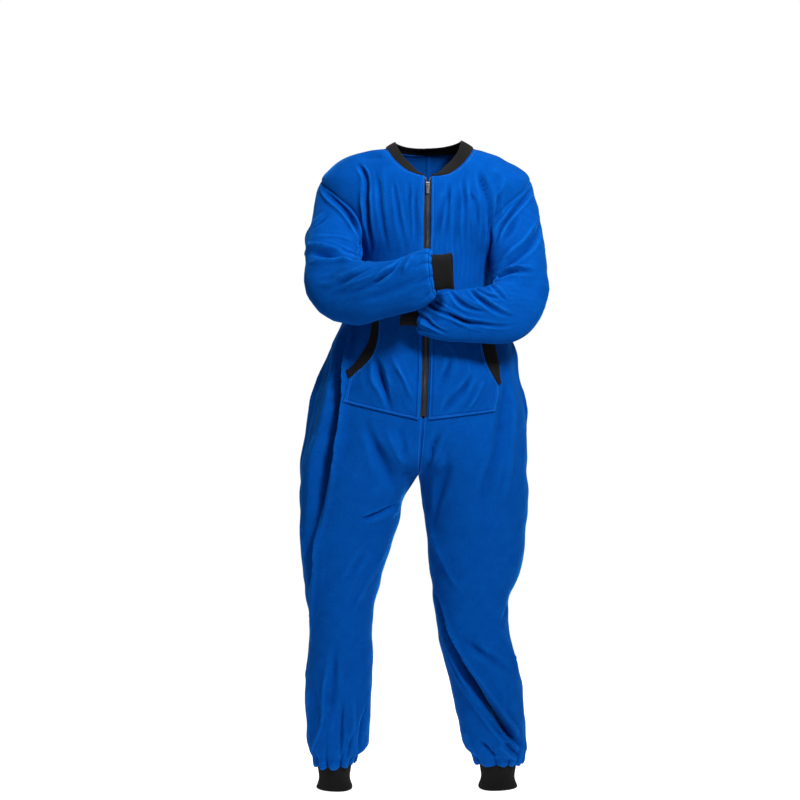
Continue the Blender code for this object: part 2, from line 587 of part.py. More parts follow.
def make_wall(name, outer, normals, thickness, material, closed=False):
    """One closed body between a grid of outer points and the same points moved in."""
    rows, columns = outer.shape[:2]
    points = np.concatenate([outer, outer - thickness * normals]).reshape(-1, 3)
    index = np.arange(2 * rows * columns).reshape(2, rows, columns)
    if closed:
        index = np.concatenate([index, index[:, :, :1]], axis=2)

    def strip(a, b, c, d):
        quads = np.stack([a, b, c, d], axis=-1).reshape(-1, 4)
        return np.concatenate([quads[:, [0, 1, 2]], quads[:, [0, 2, 3]]])

    out, inn = index
    faces = [
        strip(out[:-1, :-1], out[:-1, 1:], out[1:, 1:], out[1:, :-1]),
        strip(inn[:-1, :-1], inn[:-1, 1:], inn[1:, 1:], inn[1:, :-1])[:, ::-1],
        strip(inn[0, :-1], inn[0, 1:], out[0, 1:], out[0, :-1]),
        strip(out[-1, :-1], out[-1, 1:], inn[-1, 1:], inn[-1, :-1]),
    ]
    if not closed:
        faces.append(strip(out[:-1, 0], out[1:, 0], inn[1:, 0], inn[:-1, 0]))
        faces.append(strip(inn[:-1, -1], inn[1:, -1], out[1:, -1], out[:-1, -1]))
    mesh = bpy.data.meshes.new(name)
    mesh.from_pydata(points.tolist(), [], np.concatenate(faces).tolist())
    return finish_mesh(name, mesh, material)


def finish_mesh(name, mesh, material):
    """Turns the faces out, shades smooth and links the object."""
    work = bmesh.new()
    work.from_mesh(mesh)
    if work.calc_volume(signed=True) < 0:
        bmesh.ops.reverse_faces(work, faces=work.faces)
    work.to_mesh(mesh)
    work.free()
    mesh.shade_smooth()
    mesh.set_sharp_from_angle(angle=math.radians(50))
    mesh.materials.append(material)
    item = bpy.data.objects.new(name, mesh)
    PIECES.objects.link(item)
    return item


def inset(points, neighbours):
    """Moves an edge's points half a seam gap towards their neighbours, square to the edge."""
    tangent = unit(np.gradient(points, axis=0))
    step = neighbours - points
    step = step - np.sum(step * tangent, axis=-1, keepdims=True) * tangent
    return points + HALF_GAP * unit(step)


def seam_edge(points, body_normals, growth, other_normals):
    """Shared normals of two pieces at a seam, and the second piece's points past the gap."""
    shared = unit(body_normals + other_normals)
    step = growth - np.sum(growth * shared, axis=-1, keepdims=True) * shared
    return shared, points + SEAM_GAP * unit(step)


# ---------------------------------------------------------------- pieces
def sleeve_grid(side):
    """The sleeve's points and normals, before its first ring is moved off the armhole."""
    points = sleeve_points(side)
    return points, tube_normals(points, SIDES[side])


def armhole_seam(side):
    """Shared normals of body and sleeve at the armhole, and the sleeve's first ring."""
    points, normals = sleeve_grid(side)
    _, body_normals = armhole_points(side)
    return seam_edge(points[0], body_normals, points[1] - points[0], normals[0])


def band_direction(points):
    """The neckband rises and leans in towards the neck's axis."""
    inward = unit((NECK_AXIS - points) * [1.0, 1.0, 0.0])
    lean = math.radians(BAND_LEAN)
    return unit(inward * math.sin(lean) + np.array([0.0, 0.0, 1.0]) * math.cos(lean))


def neck_seam(side, face):
    """Shared normals of panel and neckband along the neck seam, and the band's first row."""
    place = neck_place(side, face, np.linspace(0, 1, NECK_ROWS[face] + 1))
    points = folded_body_point(side, *place)
    normals = folded_body_normal(side, *place)
    growth = band_direction(points)
    tangent = np.gradient(points, axis=0)
    band_normals = unit(np.cross(tangent, growth))
    outward = np.sum(band_normals * normals, axis=-1, keepdims=True) > 0
    band_normals = np.where(outward, band_normals, -band_normals)
    return seam_edge(points, normals, growth, band_normals)


def build_panel(side, face):
    """A front or a back: one wall from the shoulder seam to the ankle."""
    ring, angle = panel_places(side, face)
    points = folded_body_point(side, ring, angle)
    normals = folded_body_normal(side, ring, angle)
    crotch_row = int(np.argmax(ring[:, 0] >= CROTCH_RING))
    shared, _ = armhole_seam(side)
    rows = np.arange(ARMHOLE_ROWS + 1)
    normals[: ARMHOLE_ROWS + 1, -1] = shared[rows if face == "front" else -rows]
    normals[: NECK_ROWS[face] + 1, 0] = neck_seam(side, face)[0]
    normals[-1] = unit(normals[-1] * [1.0, 1.0, 0.0])
    points[ARMHOLE_ROWS:, -1] = inset(points[ARMHOLE_ROWS:, -1], points[ARMHOLE_ROWS:, -2])
    points[crotch_row:, 0] = inset(points[crotch_row:, 0], points[crotch_row:, 1])
    points[0] = inset(points[0], points[1])
    return make_wall(f"{face}_{side}", points, normals, FLEECE, MATERIALS["fleece"])


def build_sleeve(side):
    """A sleeve: a tube from the armhole round the bent elbow to the wrist."""
    points, normals = sleeve_grid(side)
    shared, first = armhole_seam(side)
    points[0], normals[0] = first, shared
    axis = sleeve_ring_frame(side, [float(len(SLEEVE_RINGS[side]) - 1)])[1][0]
    normals[-1] = unit(normals[-1] - (normals[-1] @ axis)[:, None] * axis)
    return make_wall(f"sleeve_{side}", points, normals, FLEECE, MATERIALS["fleece"], closed=True)


def build_cuff(name, ring, middle, axis, kind):
    """A rib cuff: the seam's ring carried along the axis, a little waisted."""
    length, sizes = CUFFS[kind]
    steps = np.linspace(0, 1, len(sizes))[:, None, None]
    sizes = np.array(sizes)[:, None, None]
    points = middle + axis * (SEAM_GAP + length * steps) + sizes * (ring - middle)
    normals = unit(np.roll(ring, -1, axis=0) - np.roll(ring, 1, axis=0))
    normals = np.cross(normals, axis)
    outward = np.sum(normals * (ring - middle), axis=-1, keepdims=True) > 0
    normals = np.where(outward, normals, -normals)
    normals = np.broadcast_to(normals, points.shape)
    return make_wall(name, points, normals, CUFF_WALL, MATERIALS["rib"], closed=True)


def build_cuffs(side):
    """Wrist and ankle cuffs of one side."""
    angle = np.arange(CUFF_CELLS) * 360.0 / CUFF_CELLS
    last = [float(len(SLEEVE_RINGS[side]) - 1)]
    middle, axis = (values[0] for values in sleeve_ring_frame(side, last)[:2])
    ring = plain_sleeve_point(side, last, angle)[0]
    build_cuff(f"wrist_cuff_{side}", ring, middle, axis, "wrist")
    ring = body_point(side, float(ANKLE_RING), angle)
    middle = 0.5 * (ring.min(axis=0) + ring.max(axis=0))
    build_cuff(f"ankle_cuff_{side}", ring, middle, np.array([0.0, 0.0, -1.0]), "ankle")


def build_neckband():
    """The neckband, from its right end at the zip round the back to its left end."""
    pieces = []
    for side, face, order in (
        ("right", "front", -1), ("right", "back", 1), ("left", "back", -1), ("left", "front", 1)
    ):
        shared, first = neck_seam(side, face)
        pieces.append((shared[::order], first[::order]))
    normals = np.concatenate([pieces[0][0]] + [shared[1:] for shared, _ in pieces[1:]])
    base = np.concatenate([pieces[0][1]] + [first[1:] for _, first in pieces[1:]])
    from_end = np.abs(base[:, 0] - NECK_AXIS[0]) - ZIP_HALF_OPENING
    share = np.clip(from_end / BAND_TAPER, 0.0, 1.0)
    share = np.where(base[:, 1] < NECK_AXIS[1], share * share * (3 - 2 * share), 1.0)
    leftward = np.clip(0.5 + 0.5 * (base[:, 0] - NECK_AXIS[0]) / BAND_SIDE_REACH, 0.0, 1.0)
    full = BAND_HEIGHT["right"] + (BAND_HEIGHT["left"] - BAND_HEIGHT["right"]) * leftward
    height = BAND_END_HEIGHT + (full - BAND_END_HEIGHT) * share
    steps = np.linspace(0, 1, BAND_ROWS + 1)[:, None, None]
    rise = band_direction(base) * height[:, None]
    points = base + steps * rise
    own = np.cross(np.gradient(base, axis=0), rise)
    own = unit(np.where(np.sum(own * normals, axis=-1, keepdims=True) > 0, own, -own))
    grid = np.stack([normals] + [own] * BAND_ROWS)
    return make_wall("collar_band", points, grid, BAND_WALL, MATERIALS["rib"])


def front_surface(side, distance, z):
    """Points and normals of a front panel's surface at distances from the middle plane."""
    ring = ring_at(side, z)
    angle = angle_at(side, ring, distance)
    return folded_body_point(side, ring, angle), folded_body_normal(side, ring, angle)


def opening_curve(table):
    """The hand opening's curve from the top of the pocket to its outer corner."""
    rows = np.array(table[:OPENING_POINTS])
    return spline(rows, np.linspace(0, OPENING_POINTS - 1, OPENING_ROWS + 1))


def build_pocket(side):
    """A patch pocket on the front panel, with its binding on the hand opening."""
    opening = opening_curve(POCKET_EDGE[side])
    outer = spline(np.array(POCKET_EDGE[side][OPENING_POINTS - 1 :]), np.linspace(0, 2, 4))
    outer = np.concatenate([opening, outer[1:]])
    distance, top, bottom = POCKET_INNER_EDGE
    rows = (outer[:, 1] - outer[0, 1]) / (outer[-1, 1] - outer[0, 1])
    inner = np.stack([np.full(len(outer), distance), top + (bottom - top) * rows], axis=-1)
    share = np.linspace(0, 1, POCKET_CELLS + 1)[None, :, None]
    grid = inner[:, None] * (1 - share) + outer[:, None] * share
    points, normals = front_surface(side, grid[..., 0], grid[..., 1])
    points = points + (POCKET_GAP + FLEECE) * normals
    make_wall(f"pocket_{side}", points, normals, FLEECE, MATERIALS["fleece"])
    edge = opening_curve(BINDING_EDGE[side])
    away = unit(edge - opening)
    start = opening + BINDING_GAP * away
    share = np.linspace(0, 1, BINDING_CELLS + 1)[None, :, None]
    grid = start[:, None] * (1 - share) + edge[:, None] * share
    points, normals = front_surface(side, grid[..., 0], grid[..., 1])
    points = points + (POCKET_GAP + RIB_KNIT) * normals
    make_wall(f"pocket_binding_{side}", points, normals, RIB_KNIT, MATERIALS["rib"])


def zip_line(heights):
    """The front's middle line at heights: points on the fronts' surface and its normals."""
    ring = ring_at("right", heights)
    points, normals = front_surface("right", np.zeros(len(heights)), heights)
    points[:, 0] = column("right", "mid_x", ring)
    return points, unit(normals * [0.0, 1.0, 1.0])


def build_zip():
    """Tapes behind the fronts' edges, the closed chain on them, and the slider with its tab."""
    heights = np.linspace(ZIP_TOP_Z, ZIP_BOTTOM_Z, ZIP_ROWS + 1)
    sideways = np.array([1.0, 0.0, 0.0])
    for side, sign in SIDES.items():
        across = np.linspace(TAPE_INNER, TAPE_OUTER, 3)
        grid = np.broadcast_arrays(across[None, :], heights[:, None])
        points, normals = front_surface(side, *grid)
        points = points - (FLEECE + TAPE_GAP) * normals
        make_wall(f"zip_tape_{side}", points, normals, TAPE_WALL, MATERIALS["tape"])
    chain_bottom = ZIP_BOTTOM_Z + 1.5 * ZIP_CLOSE_LENGTH
    closed = np.linspace(SLIDER_Z - 0.5 * SLIDER_SIZE[2], chain_bottom, ZIP_ROWS + 1)
    middle, normals = zip_line(closed)
    top = middle - (FLEECE + TAPE_GAP - CHAIN_GAP - CHAIN_WALL) * normals
    offsets = np.linspace(-CHAIN_HALF_WIDTH, CHAIN_HALF_WIDTH, 3)[None, :, None]
    points = top[:, None] + offsets * sideways
    grid = np.broadcast_to(normals[:, None], points.shape)
    make_wall("zip_chain", points, grid, CHAIN_WALL, MATERIALS["tape"])
    build_slider()


def slider_frame():
    """The slider's middle, and the turn about X that lays it on the chest's slope."""
    points, normals = zip_line(np.array([SLIDER_Z]))
    rise = CHAIN_GAP + 0.5 * SLIDER_SIZE[1] - (FLEECE + TAPE_GAP - CHAIN_GAP - CHAIN_WALL)
    turn = math.atan2(-normals[0, 2], -normals[0, 1])
    return Vector(points[0] + rise * normals[0]), turn


def rounded_block(size, width):
    """A mesh block with bevelled edges."""
    work = bmesh.new()
    bmesh.ops.create_cube(work, size=1.0, matrix=Matrix.Diagonal((*size, 1.0)))
    bmesh.ops.bevel(
        work, geom=work.edges[:], offset=width, segments=2, affect="EDGES", profile=0.5
    )
    mesh = bpy.data.meshes.new("block")
    work.to_mesh(mesh)
    work.free()
    return mesh


def tube_mesh(points, radius):
    """A round wire through points, capped and welded."""
    curve = bpy.data.curves.new("wire", "CURVE")
    curve.dimensions = "3D"
    curve.bevel_depth = radius
    curve.bevel_resolution = 2
    curve.use_fill_caps = True
    line = curve.splines.new("POLY")
    line.points.add(len(points) - 1)
    for point, place in zip(line.points, points):
        point.co = (*place, 1.0)
    holder = bpy.data.objects.new("wire", curve)
    bpy.context.scene.collection.objects.link(holder)
    graph = bpy.context.evaluated_depsgraph_get()
    mesh = bpy.data.meshes.new_from_object(holder.evaluated_get(graph))
    bpy.data.objects.remove(holder)
    work = bmesh.new()
    work.from_mesh(mesh)
    bmesh.ops.remove_doubles(work, verts=work.verts, dist=1e-6)
    work.to_mesh(mesh)
    work.free()
    return mesh


def boolean(name, first, second, operation, material):
    """Joins or cuts two meshes and keeps the result as one object."""
    holder = bpy.data.objects.new("first", first)
    other = bpy.data.objects.new("second", second)
    for item in (holder, other):
        bpy.context.scene.collection.objects.link(item)
    cut = holder.modifiers.new("cut", "BOOLEAN")
    cut.operation = operation
    cut.object = other
    graph = bpy.context.evaluated_depsgraph_get()
    mesh = bpy.data.meshes.new_from_object(holder.evaluated_get(graph))
    for item in (holder, other):
        bpy.data.objects.remove(item)
    mesh.materials.clear()
    mesh.name = name
    return finish_mesh(name, mesh, material)


def build_slider():
    """The slider: a plate with a wire bridge, and the pull tab whose crossbar it holds."""
    middle, turn = slider_frame()
    half = 0.5 * SLIDER_SIZE[1]
    arch = [
        (0.0, -half + 0.5 * BRIDGE_WIRE - BRIDGE_RADIUS * math.sin(a), BRIDGE_RADIUS * math.cos(a))
        for a in np.linspace(0, math.pi, 13)
    ]
    plate = rounded_block(SLIDER_SIZE, 0.0006)
    slider = boolean("zip_slider", plate, tube_mesh(arch, BRIDGE_WIRE), "UNION", MATERIALS["metal"])
    slider.location = middle
    slider.rotation_euler = (turn, 0.0, 0.0)
    length = TAB_SIZE[2]
    block = rounded_block(TAB_SIZE, 0.0003)
    block.transform(Matrix.Translation((0.0, 0.0, TAB_BAR_HALF - 0.5 * length)))
    slot = bmesh.new()
    bmesh.ops.create_cube(
        slot,
        size=1.0,
        matrix=Matrix.Translation((0.0, 0.0, -TAB_BAR_HALF - 0.5 * TAB_SLOT[1]))
        @ Matrix.Diagonal((TAB_SLOT[0], 4 * TAB_SIZE[1], TAB_SLOT[1], 1.0)),
    )
    cutter = bpy.data.meshes.new("slot")
    slot.to_mesh(cutter)
    slot.free()
    tab = boolean("zip_pull_tab", block, cutter, "DIFFERENCE", MATERIALS["metal"])
    local = Vector((0.0, -half - TAB_STAND_OFF, TAB_DROP))
    tab.location = middle + Matrix.Rotation(turn, 3, "X") @ local
    tab.rotation_euler = (turn, 0.0, 0.0)


def make_material(name, colour, roughness, metallic=0.0):
    material = bpy.data.materials.new(name)
    material.use_nodes = True
    shader = material.node_tree.nodes["Principled BSDF"]
    shader.inputs["Base Color"].default_value = colour
    shader.inputs["Roughness"].default_value = roughness
    shader.inputs["Metallic"].default_value = metallic
    return material


for old in list(bpy.data.objects):
    bpy.data.objects.remove(old)
PIECES = bpy.data.collections.new("fleece_onesie")
bpy.context.scene.collection.children.link(PIECES)
MATERIALS = {
    "fleece": make_material("royal blue fleece", BLUE, 0.95),
    "rib": make_material("black rib knit", BLACK, 0.85),
    "tape": make_material("black zip tape", BLACK, 0.70),
    "metal": make_material("nickel", METAL, 0.30, 1.0),
}
for wearer_side in SIDES:
    for panel_face in ("front", "back"):
        build_panel(wearer_side, panel_face)
    build_sleeve(wearer_side)
    build_cuffs(wearer_side)
    build_pocket(wearer_side)
build_neckband()
build_zip()
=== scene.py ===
# %% [markdown]
# # Fleece one-piece pajama, worn with crossed arms
# Metres, +Z up. The garment faces -Y and the wearer's right side is at -X. The shape starts
# from rings of the body, legs and sleeves; folds, gathers and seams are added to its points.

# %%
import json
import math

import bpy
import numpy as np
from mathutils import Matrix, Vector

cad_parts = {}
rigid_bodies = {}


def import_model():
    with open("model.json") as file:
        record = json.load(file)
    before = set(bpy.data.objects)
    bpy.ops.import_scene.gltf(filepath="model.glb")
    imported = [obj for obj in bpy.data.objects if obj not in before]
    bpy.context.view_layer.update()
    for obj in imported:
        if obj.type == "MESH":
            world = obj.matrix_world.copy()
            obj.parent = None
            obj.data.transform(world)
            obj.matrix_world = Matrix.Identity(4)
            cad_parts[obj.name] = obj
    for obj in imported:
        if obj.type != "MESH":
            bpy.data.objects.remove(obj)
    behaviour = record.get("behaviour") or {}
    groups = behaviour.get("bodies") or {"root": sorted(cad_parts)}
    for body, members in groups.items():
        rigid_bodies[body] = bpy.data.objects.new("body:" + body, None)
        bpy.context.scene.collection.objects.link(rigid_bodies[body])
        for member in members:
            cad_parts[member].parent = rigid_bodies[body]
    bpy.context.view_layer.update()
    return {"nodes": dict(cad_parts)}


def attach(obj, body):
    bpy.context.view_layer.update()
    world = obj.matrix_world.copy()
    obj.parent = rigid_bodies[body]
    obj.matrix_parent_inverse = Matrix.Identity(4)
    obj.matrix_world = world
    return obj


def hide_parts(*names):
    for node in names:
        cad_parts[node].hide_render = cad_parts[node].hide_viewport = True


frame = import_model()
GARMENT = "garment"

# %% [markdown]
# ## Sizes

# %%
MM = 0.001
SIDES = {"right": -1.0, "left": 1.0}
FLEECE, RIB_KNIT, CUFF_WALL = 2.2 * MM, 2.0 * MM, 2.6 * MM
SEAM_GAP = 0.3 * MM
# The sewn edges of two panels almost meet, so that hardly any light shows between them
HALF_GAP = 0.01 * MM

# Camera: its place, its pitch down from level, its lens, and the frame's side in pixels
CAMERA_PLACE = np.array([-0.0585, -3.5834, -0.2175])
CAMERA_PITCH = math.radians(5.5)
LENS, SENSOR, FRAME = 72.0, 36.0, 800.0
# Zip: half its opening, its lower end, and the length over which the opening closes
ZIP_HALF_OPENING = 0.0070
ZIP_BOTTOM_Z, ZIP_CLOSE_LENGTH = -0.591, 0.004

# Superellipse powers: 2 is an ellipse, more is squarer
BODY_POWER = 2.25
SLEEVE_POWER = 2.3
# Steps of rings and degrees between which a surface's normal is measured
RING_STEP, ANGLE_STEP = 0.04, 1.8

# Rings of the body above the crotch. z is the height; mid_x and mid_y are the ring's middle;
# right and left are the half widths, front and back the depths, and split goes from 0, one
# ring round the trunk, to 1, two rings that meet at the crotch.
TRUNK_COLUMNS = ("z", "mid_x", "mid_y", "right", "left", "front", "back", "split")
TRUNK_RINGS = [
    (0.024, 0.004, 0.012, 0.078, 0.082, 0.056, 0.060, 0.0),  # inside the collar
    (0.000, 0.004, 0.012, 0.095, 0.101, 0.072, 0.068, 0.0),  # neck ends of the shoulder seams
    (-0.010, 0.004, 0.012, 0.138, 0.126, 0.080, 0.074, 0.0),
    (-0.026, 0.004, 0.012, 0.190, 0.170, 0.091, 0.088, 0.0),
    (-0.047, 0.003, 0.013, 0.220, 0.208, 0.102, 0.100, 0.0),
    (-0.072, 0.002, 0.014, 0.236, 0.229, 0.115, 0.110, 0.0),  # shoulder tips
    (-0.112, 0.001, 0.016, 0.230, 0.228, 0.130, 0.118, 0.0),
    (-0.160, 0.000, 0.020, 0.206, 0.206, 0.140, 0.120, 0.0),
    (-0.205, 0.000, 0.026, 0.176, 0.176, 0.146, 0.118, 0.0),
    (-0.246, -0.001, 0.030, 0.154, 0.154, 0.150, 0.114, 0.0),  # underarms
    (-0.310, -0.001, 0.030, 0.150, 0.150, 0.151, 0.108, 0.0),
    (-0.384, -0.002, 0.028, 0.182, 0.175, 0.147, 0.104, 0.0),
    (-0.460, -0.003, 0.022, 0.212, 0.198, 0.142, 0.108, 0.0),
    (-0.528, -0.005, 0.016, 0.232, 0.213, 0.140, 0.118, 0.0),
    (-0.591, -0.008, 0.010, 0.245, 0.228, 0.138, 0.128, 0.03),
    (-0.646, -0.012, 0.006, 0.253, 0.239, 0.136, 0.134, 0.26),
    (-0.692, -0.015, 0.004, 0.260, 0.245, 0.132, 0.136, 0.62),
    (-0.730, -0.017, 0.003, 0.264, 0.246, 0.127, 0.134, 1.0),  # crotch
]
# Rings of one leg. outer and inner are distances from the trunk's middle at the crotch.
LEG_COLUMNS = ("z", "mid_y", "outer", "inner", "front", "back")
LEG_RINGS = {
    "right": [
        (-0.780, 0.003, 0.268, 0.030, 0.120, 0.130),
        (-0.836, 0.003, 0.268, 0.044, 0.113, 0.122),
        (-0.895, 0.002, 0.268, 0.063, 0.106, 0.113),
        (-0.956, 0.001, 0.261, 0.080, 0.099, 0.104),
        (-1.018, 0.000, 0.253, 0.096, 0.093, 0.096),
        (-1.080, 0.002, 0.249, 0.104, 0.088, 0.092),
        (-1.143, 0.006, 0.252, 0.104, 0.084, 0.092),
        (-1.206, 0.010, 0.257, 0.106, 0.080, 0.090),
        (-1.270, 0.012, 0.259, 0.108, 0.076, 0.084),
        (-1.328, 0.014, 0.256, 0.114, 0.070, 0.076),
        (-1.368, 0.014, 0.250, 0.130, 0.060, 0.064),
        (-1.396, 0.014, 0.238, 0.150, 0.046, 0.048),
        (-1.410, 0.014, 0.233, 0.153, 0.039, 0.040),
    ],
    "left": [
        (-0.780, 0.003, 0.247, 0.008, 0.120, 0.130),
        (-0.836, 0.001, 0.245, 0.013, 0.114, 0.122),
        (-0.895, -0.002, 0.241, 0.021, 0.108, 0.113),
        (-0.956, -0.006, 0.229, 0.028, 0.102, 0.104),
        (-1.018, -0.009, 0.206, 0.033, 0.096, 0.094),
        (-1.080, -0.010, 0.204, 0.043, 0.090, 0.090),
        (-1.143, -0.010, 0.221, 0.056, 0.086, 0.090),
        (-1.206, -0.010, 0.236, 0.070, 0.082, 0.088),
        (-1.270, -0.010, 0.240, 0.086, 0.078, 0.084),
        (-1.328, -0.010, 0.246, 0.101, 0.072, 0.076),
        (-1.362, -0.010, 0.244, 0.112, 0.062, 0.064),
        (-1.387, -0.010, 0.235, 0.129, 0.047, 0.049),
        (-1.400, -0.010, 0.226, 0.140, 0.038, 0.040),
    ],
}
NECK_RING, TIP_RING, UNDERARM_RING = 1, 5, 9
CROTCH_RING = len(TRUNK_RINGS) - 1
ANKLE_RING = CROTCH_RING + len(LEG_RINGS["right"])
SIDE_SEAM = {"right": 168.0, "left": 184.0}
SIDE_SEAM_SWING = 3.0
# Neck: the seam's depth at the front and back, and how square its curve is on each side
NECK_DROP_FRONT, NECK_DROP_BACK = 0.065, 0.012
NECK_CURVE = {"right": 2.4, "left": 3.1}
NECK_AXIS = np.array([0.004, 0.0, 0.0])
ARMHOLE_FRONT, ARMHOLE_BACK = 46.0, 36.0
ARMHOLE_SQUARE = 0.85
# Sleeve rings. x (outwards from the middle plane), y and z are the ring's middle; turn is the
# ring axis's turn in the frontal plane: 0 points outwards, 90 down, 180 to the middle; lean is
# how far the axis leans forward; side and front are the half sizes.
SLEEVE_COLUMNS = ("x", "y", "z", "turn", "lean", "side", "front")
SLEEVE_RINGS = {
    "right": [
        (0.184, 0.002, -0.170, 16, 0, 0.096, 0.090),
        (0.186, -0.012, -0.186, 32, 10, 0.083, 0.079),
        (0.193, -0.036, -0.208, 54, 24, 0.073, 0.069),
        (0.202, -0.062, -0.236, 78, 34, 0.067, 0.063),
        (0.206, -0.088, -0.268, 102, 38, 0.065, 0.059),
        (0.196, -0.116, -0.296, 132, 40, 0.069, 0.055),
        (0.172, -0.144, -0.312, 160, 38, 0.071, 0.051),
        (0.140, -0.172, -0.316, 177, 32, 0.068, 0.048),
        (0.104, -0.196, -0.312, 184, 26, 0.062, 0.044),
        (0.066, -0.214, -0.304, 187, 21, 0.058, 0.040),
        (0.034, -0.226, -0.293, 189, 16, 0.058, 0.039),
        (0.010, -0.233, -0.282, 188, 11, 0.056, 0.037),
        (-0.004, -0.236, -0.275, 186, 8, 0.048, 0.032),
        (-0.0115, -0.237, -0.273, 185, 6, 0.0375, 0.026),
    ],
    "left": [
        (0.184, 0.002, -0.170, 16, 0, 0.096, 0.090),
        (0.186, -0.010, -0.188, 32, 10, 0.083, 0.079),
        (0.192, -0.032, -0.212, 54, 22, 0.073, 0.068),
        (0.198, -0.056, -0.244, 74, 30, 0.066, 0.061),
        (0.202, -0.078, -0.284, 92, 32, 0.064, 0.056),
        (0.198, -0.102, -0.322, 118, 34, 0.066, 0.050),
        (0.180, -0.126, -0.350, 150, 32, 0.069, 0.045),
        (0.152, -0.144, -0.362, 170, 24, 0.066, 0.041),
        (0.119, -0.154, -0.366, 178, 16, 0.061, 0.037),
        (0.084, -0.158, -0.366, 181, 10, 0.057, 0.034),
        (0.049, -0.158, -0.367, 182, 5, 0.054, 0.031),
        (0.014, -0.156, -0.367, 182, 2, 0.048, 0.031),
        (-0.0105, -0.153, -0.365, 182, 0, 0.038, 0.028),
        (-0.0175, -0.151, -0.359, 182, 0, 0.030, 0.024),
    ],
}
# The armhole's form fades out over this many sleeve rings; a sleeve stays this clear of the
# trunk; and the rows from first to last are eased a few times where it lies beside it
ARMHOLE_FADE = 2.6
BESIDE_BODY = 0.008
EASING_PASSES, FIRST_EASED, LAST_EASED = 3, 2, 6
print(f"rings: trunk {len(TRUNK_RINGS)}, leg {len(LEG_RINGS['right'])}, "
      f"sleeve {len(SLEEVE_RINGS['right'])}")

# %% [markdown]
# ## Surfaces of the body and the sleeves

# %%
def spline(rows, at):
    """Catmull-Rom curve through evenly numbered rows, read at the row numbers in at."""
    rows, at = np.asarray(rows, float), np.asarray(at, float)
    low = np.clip(np.floor(at).astype(int), 0, len(rows) - 2)
    t = (at - low).reshape(at.shape + (1,) * (rows.ndim - 1))
    ends = np.concatenate([2 * rows[:1] - rows[1:2], rows, 2 * rows[-1:] - rows[-2:-1]])
    a, b, c, d = (ends[low + i] for i in range(4))
    return b + 0.5 * t * (c - a + t * (2 * a - 5 * b + 4 * c - d + t * (3 * (b - c) + d - a)))


def signed_power(value, power):
    """A power of the value's size, with the value's sign."""
    return np.sign(value) * np.abs(value) ** power


# %%
def body_columns(side):
    """The body's ring table for one side as arrays: z, mid_x, mid_y, outer, split, front, back."""
    trunk = dict(zip(TRUNK_COLUMNS, np.array(TRUNK_RINGS).T))
    leg = dict(zip(LEG_COLUMNS, np.array(LEG_RINGS[side]).T))
    leg_split = (leg["outer"] + leg["inner"]) / (leg["outer"] - leg["inner"])
    joined = {
        name: np.concatenate([trunk[name], leg[name]]) for name in ("z", "mid_y", "front", "back")
    }
    joined["mid_x"] = np.concatenate([trunk["mid_x"], np.full(len(leg["z"]), trunk["mid_x"][-1])])
    joined["outer"] = np.concatenate([trunk[side], leg["outer"]])
    joined["split"] = (trunk["split"], np.concatenate([[1.0], leg_split]))
    return joined


COLUMNS = {side: body_columns(side) for side in SIDES}


def split_at(side, ring):
    """How far the ring has split into two legs; the trunk's part is the same on both sides."""
    trunk, leg = COLUMNS[side]["split"]
    ring = np.asarray(ring, float)
    above = spline(trunk, np.minimum(ring, CROTCH_RING))
    below = spline(leg, np.maximum(ring - CROTCH_RING, 0.0))
    return np.where(ring <= CROTCH_RING, np.clip(above, 0.0, 1.0), np.maximum(below, 1.0))


def column(side, name, ring):
    """One column of a side's ring table, read at ring numbers."""
    return spline(COLUMNS[side][name], ring)


def middle_and_width(side, ring):
    """Middle and half width of one side's ring, from the trunk's middle plane outwards."""
    split = split_at(side, ring)
    width = column(side, "outer", ring) / (1 + split)
    return split * width, width


def body_point(side, ring, angle):
    """Superellipse ring of one side: 0 degrees is the inseam, 90 front, 180 side, 270 back."""
    ring, angle = np.broadcast_arrays(np.asarray(ring, float), np.radians(angle))
    middle, width = middle_and_width(side, ring)
    across = signed_power(np.cos(angle), 2 / BODY_POWER)
    along = signed_power(np.sin(angle), 2 / BODY_POWER)
    depth = np.where(along > 0, column(side, "front", ring), column(side, "back", ring))
    x = column(side, "mid_x", ring) + SIDES[side] * (middle - width * across + HALF_GAP)
    y = column(side, "mid_y", ring) - depth * along
    return np.stack([x, y, column(side, "z", ring)], axis=-1)


def angle_at(side, ring, distance):
    """Front angle at which the ring is this far out from the trunk's middle plane."""
    middle, width = middle_and_width(side, ring)
    share = np.clip((middle - distance) / width, -1.0, 1.0)
    return np.degrees(np.arccos(signed_power(share, BODY_POWER / 2)))


def ring_at(side, z):
    """Ring number at a height."""
    rings = np.linspace(0, ANKLE_RING, 1200)
    return np.interp(-np.asarray(z, float), -column(side, "z", rings), rings)


# %%
def unit(vectors):
    """The vectors at length 1."""
    return vectors / np.maximum(np.linalg.norm(vectors, axis=-1, keepdims=True), 1e-12)


def bell(distance, width):
    """A soft bell: exp(-(distance / width)^2)."""
    return np.exp(-((distance / width) ** 2))


def smooth(share):
    """A smooth step from 0 to 1: 3 share^2 - 2 share^3."""
    share = np.clip(share, 0.0, 1.0)
    return share * share * (3 - 2 * share)


def blend(first, second, share):
    """From first to second: first (1 - share) + second share."""
    return first * (1 - share) + second * share


def averaged(rows):
    """Each row but the first and last: half of it and a quarter of each neighbour."""
    return 0.5 * rows[1:-1] + 0.25 * (rows[:-2] + rows[2:])


def run_lengths(points, axis):
    """Length run along an axis of a grid of points, starting at 0."""
    steps = np.linalg.norm(np.diff(points, axis=axis), axis=-1)
    pad = [(0, 0)] * steps.ndim
    pad[axis] = (1, 0)
    return np.pad(np.cumsum(steps, axis=axis), pad)


def along_line(line, run, at):
    """Points of a line at distances along it; run holds the line's own distances."""
    return np.stack([np.interp(at, run, values) for values in line.T], axis=-1)


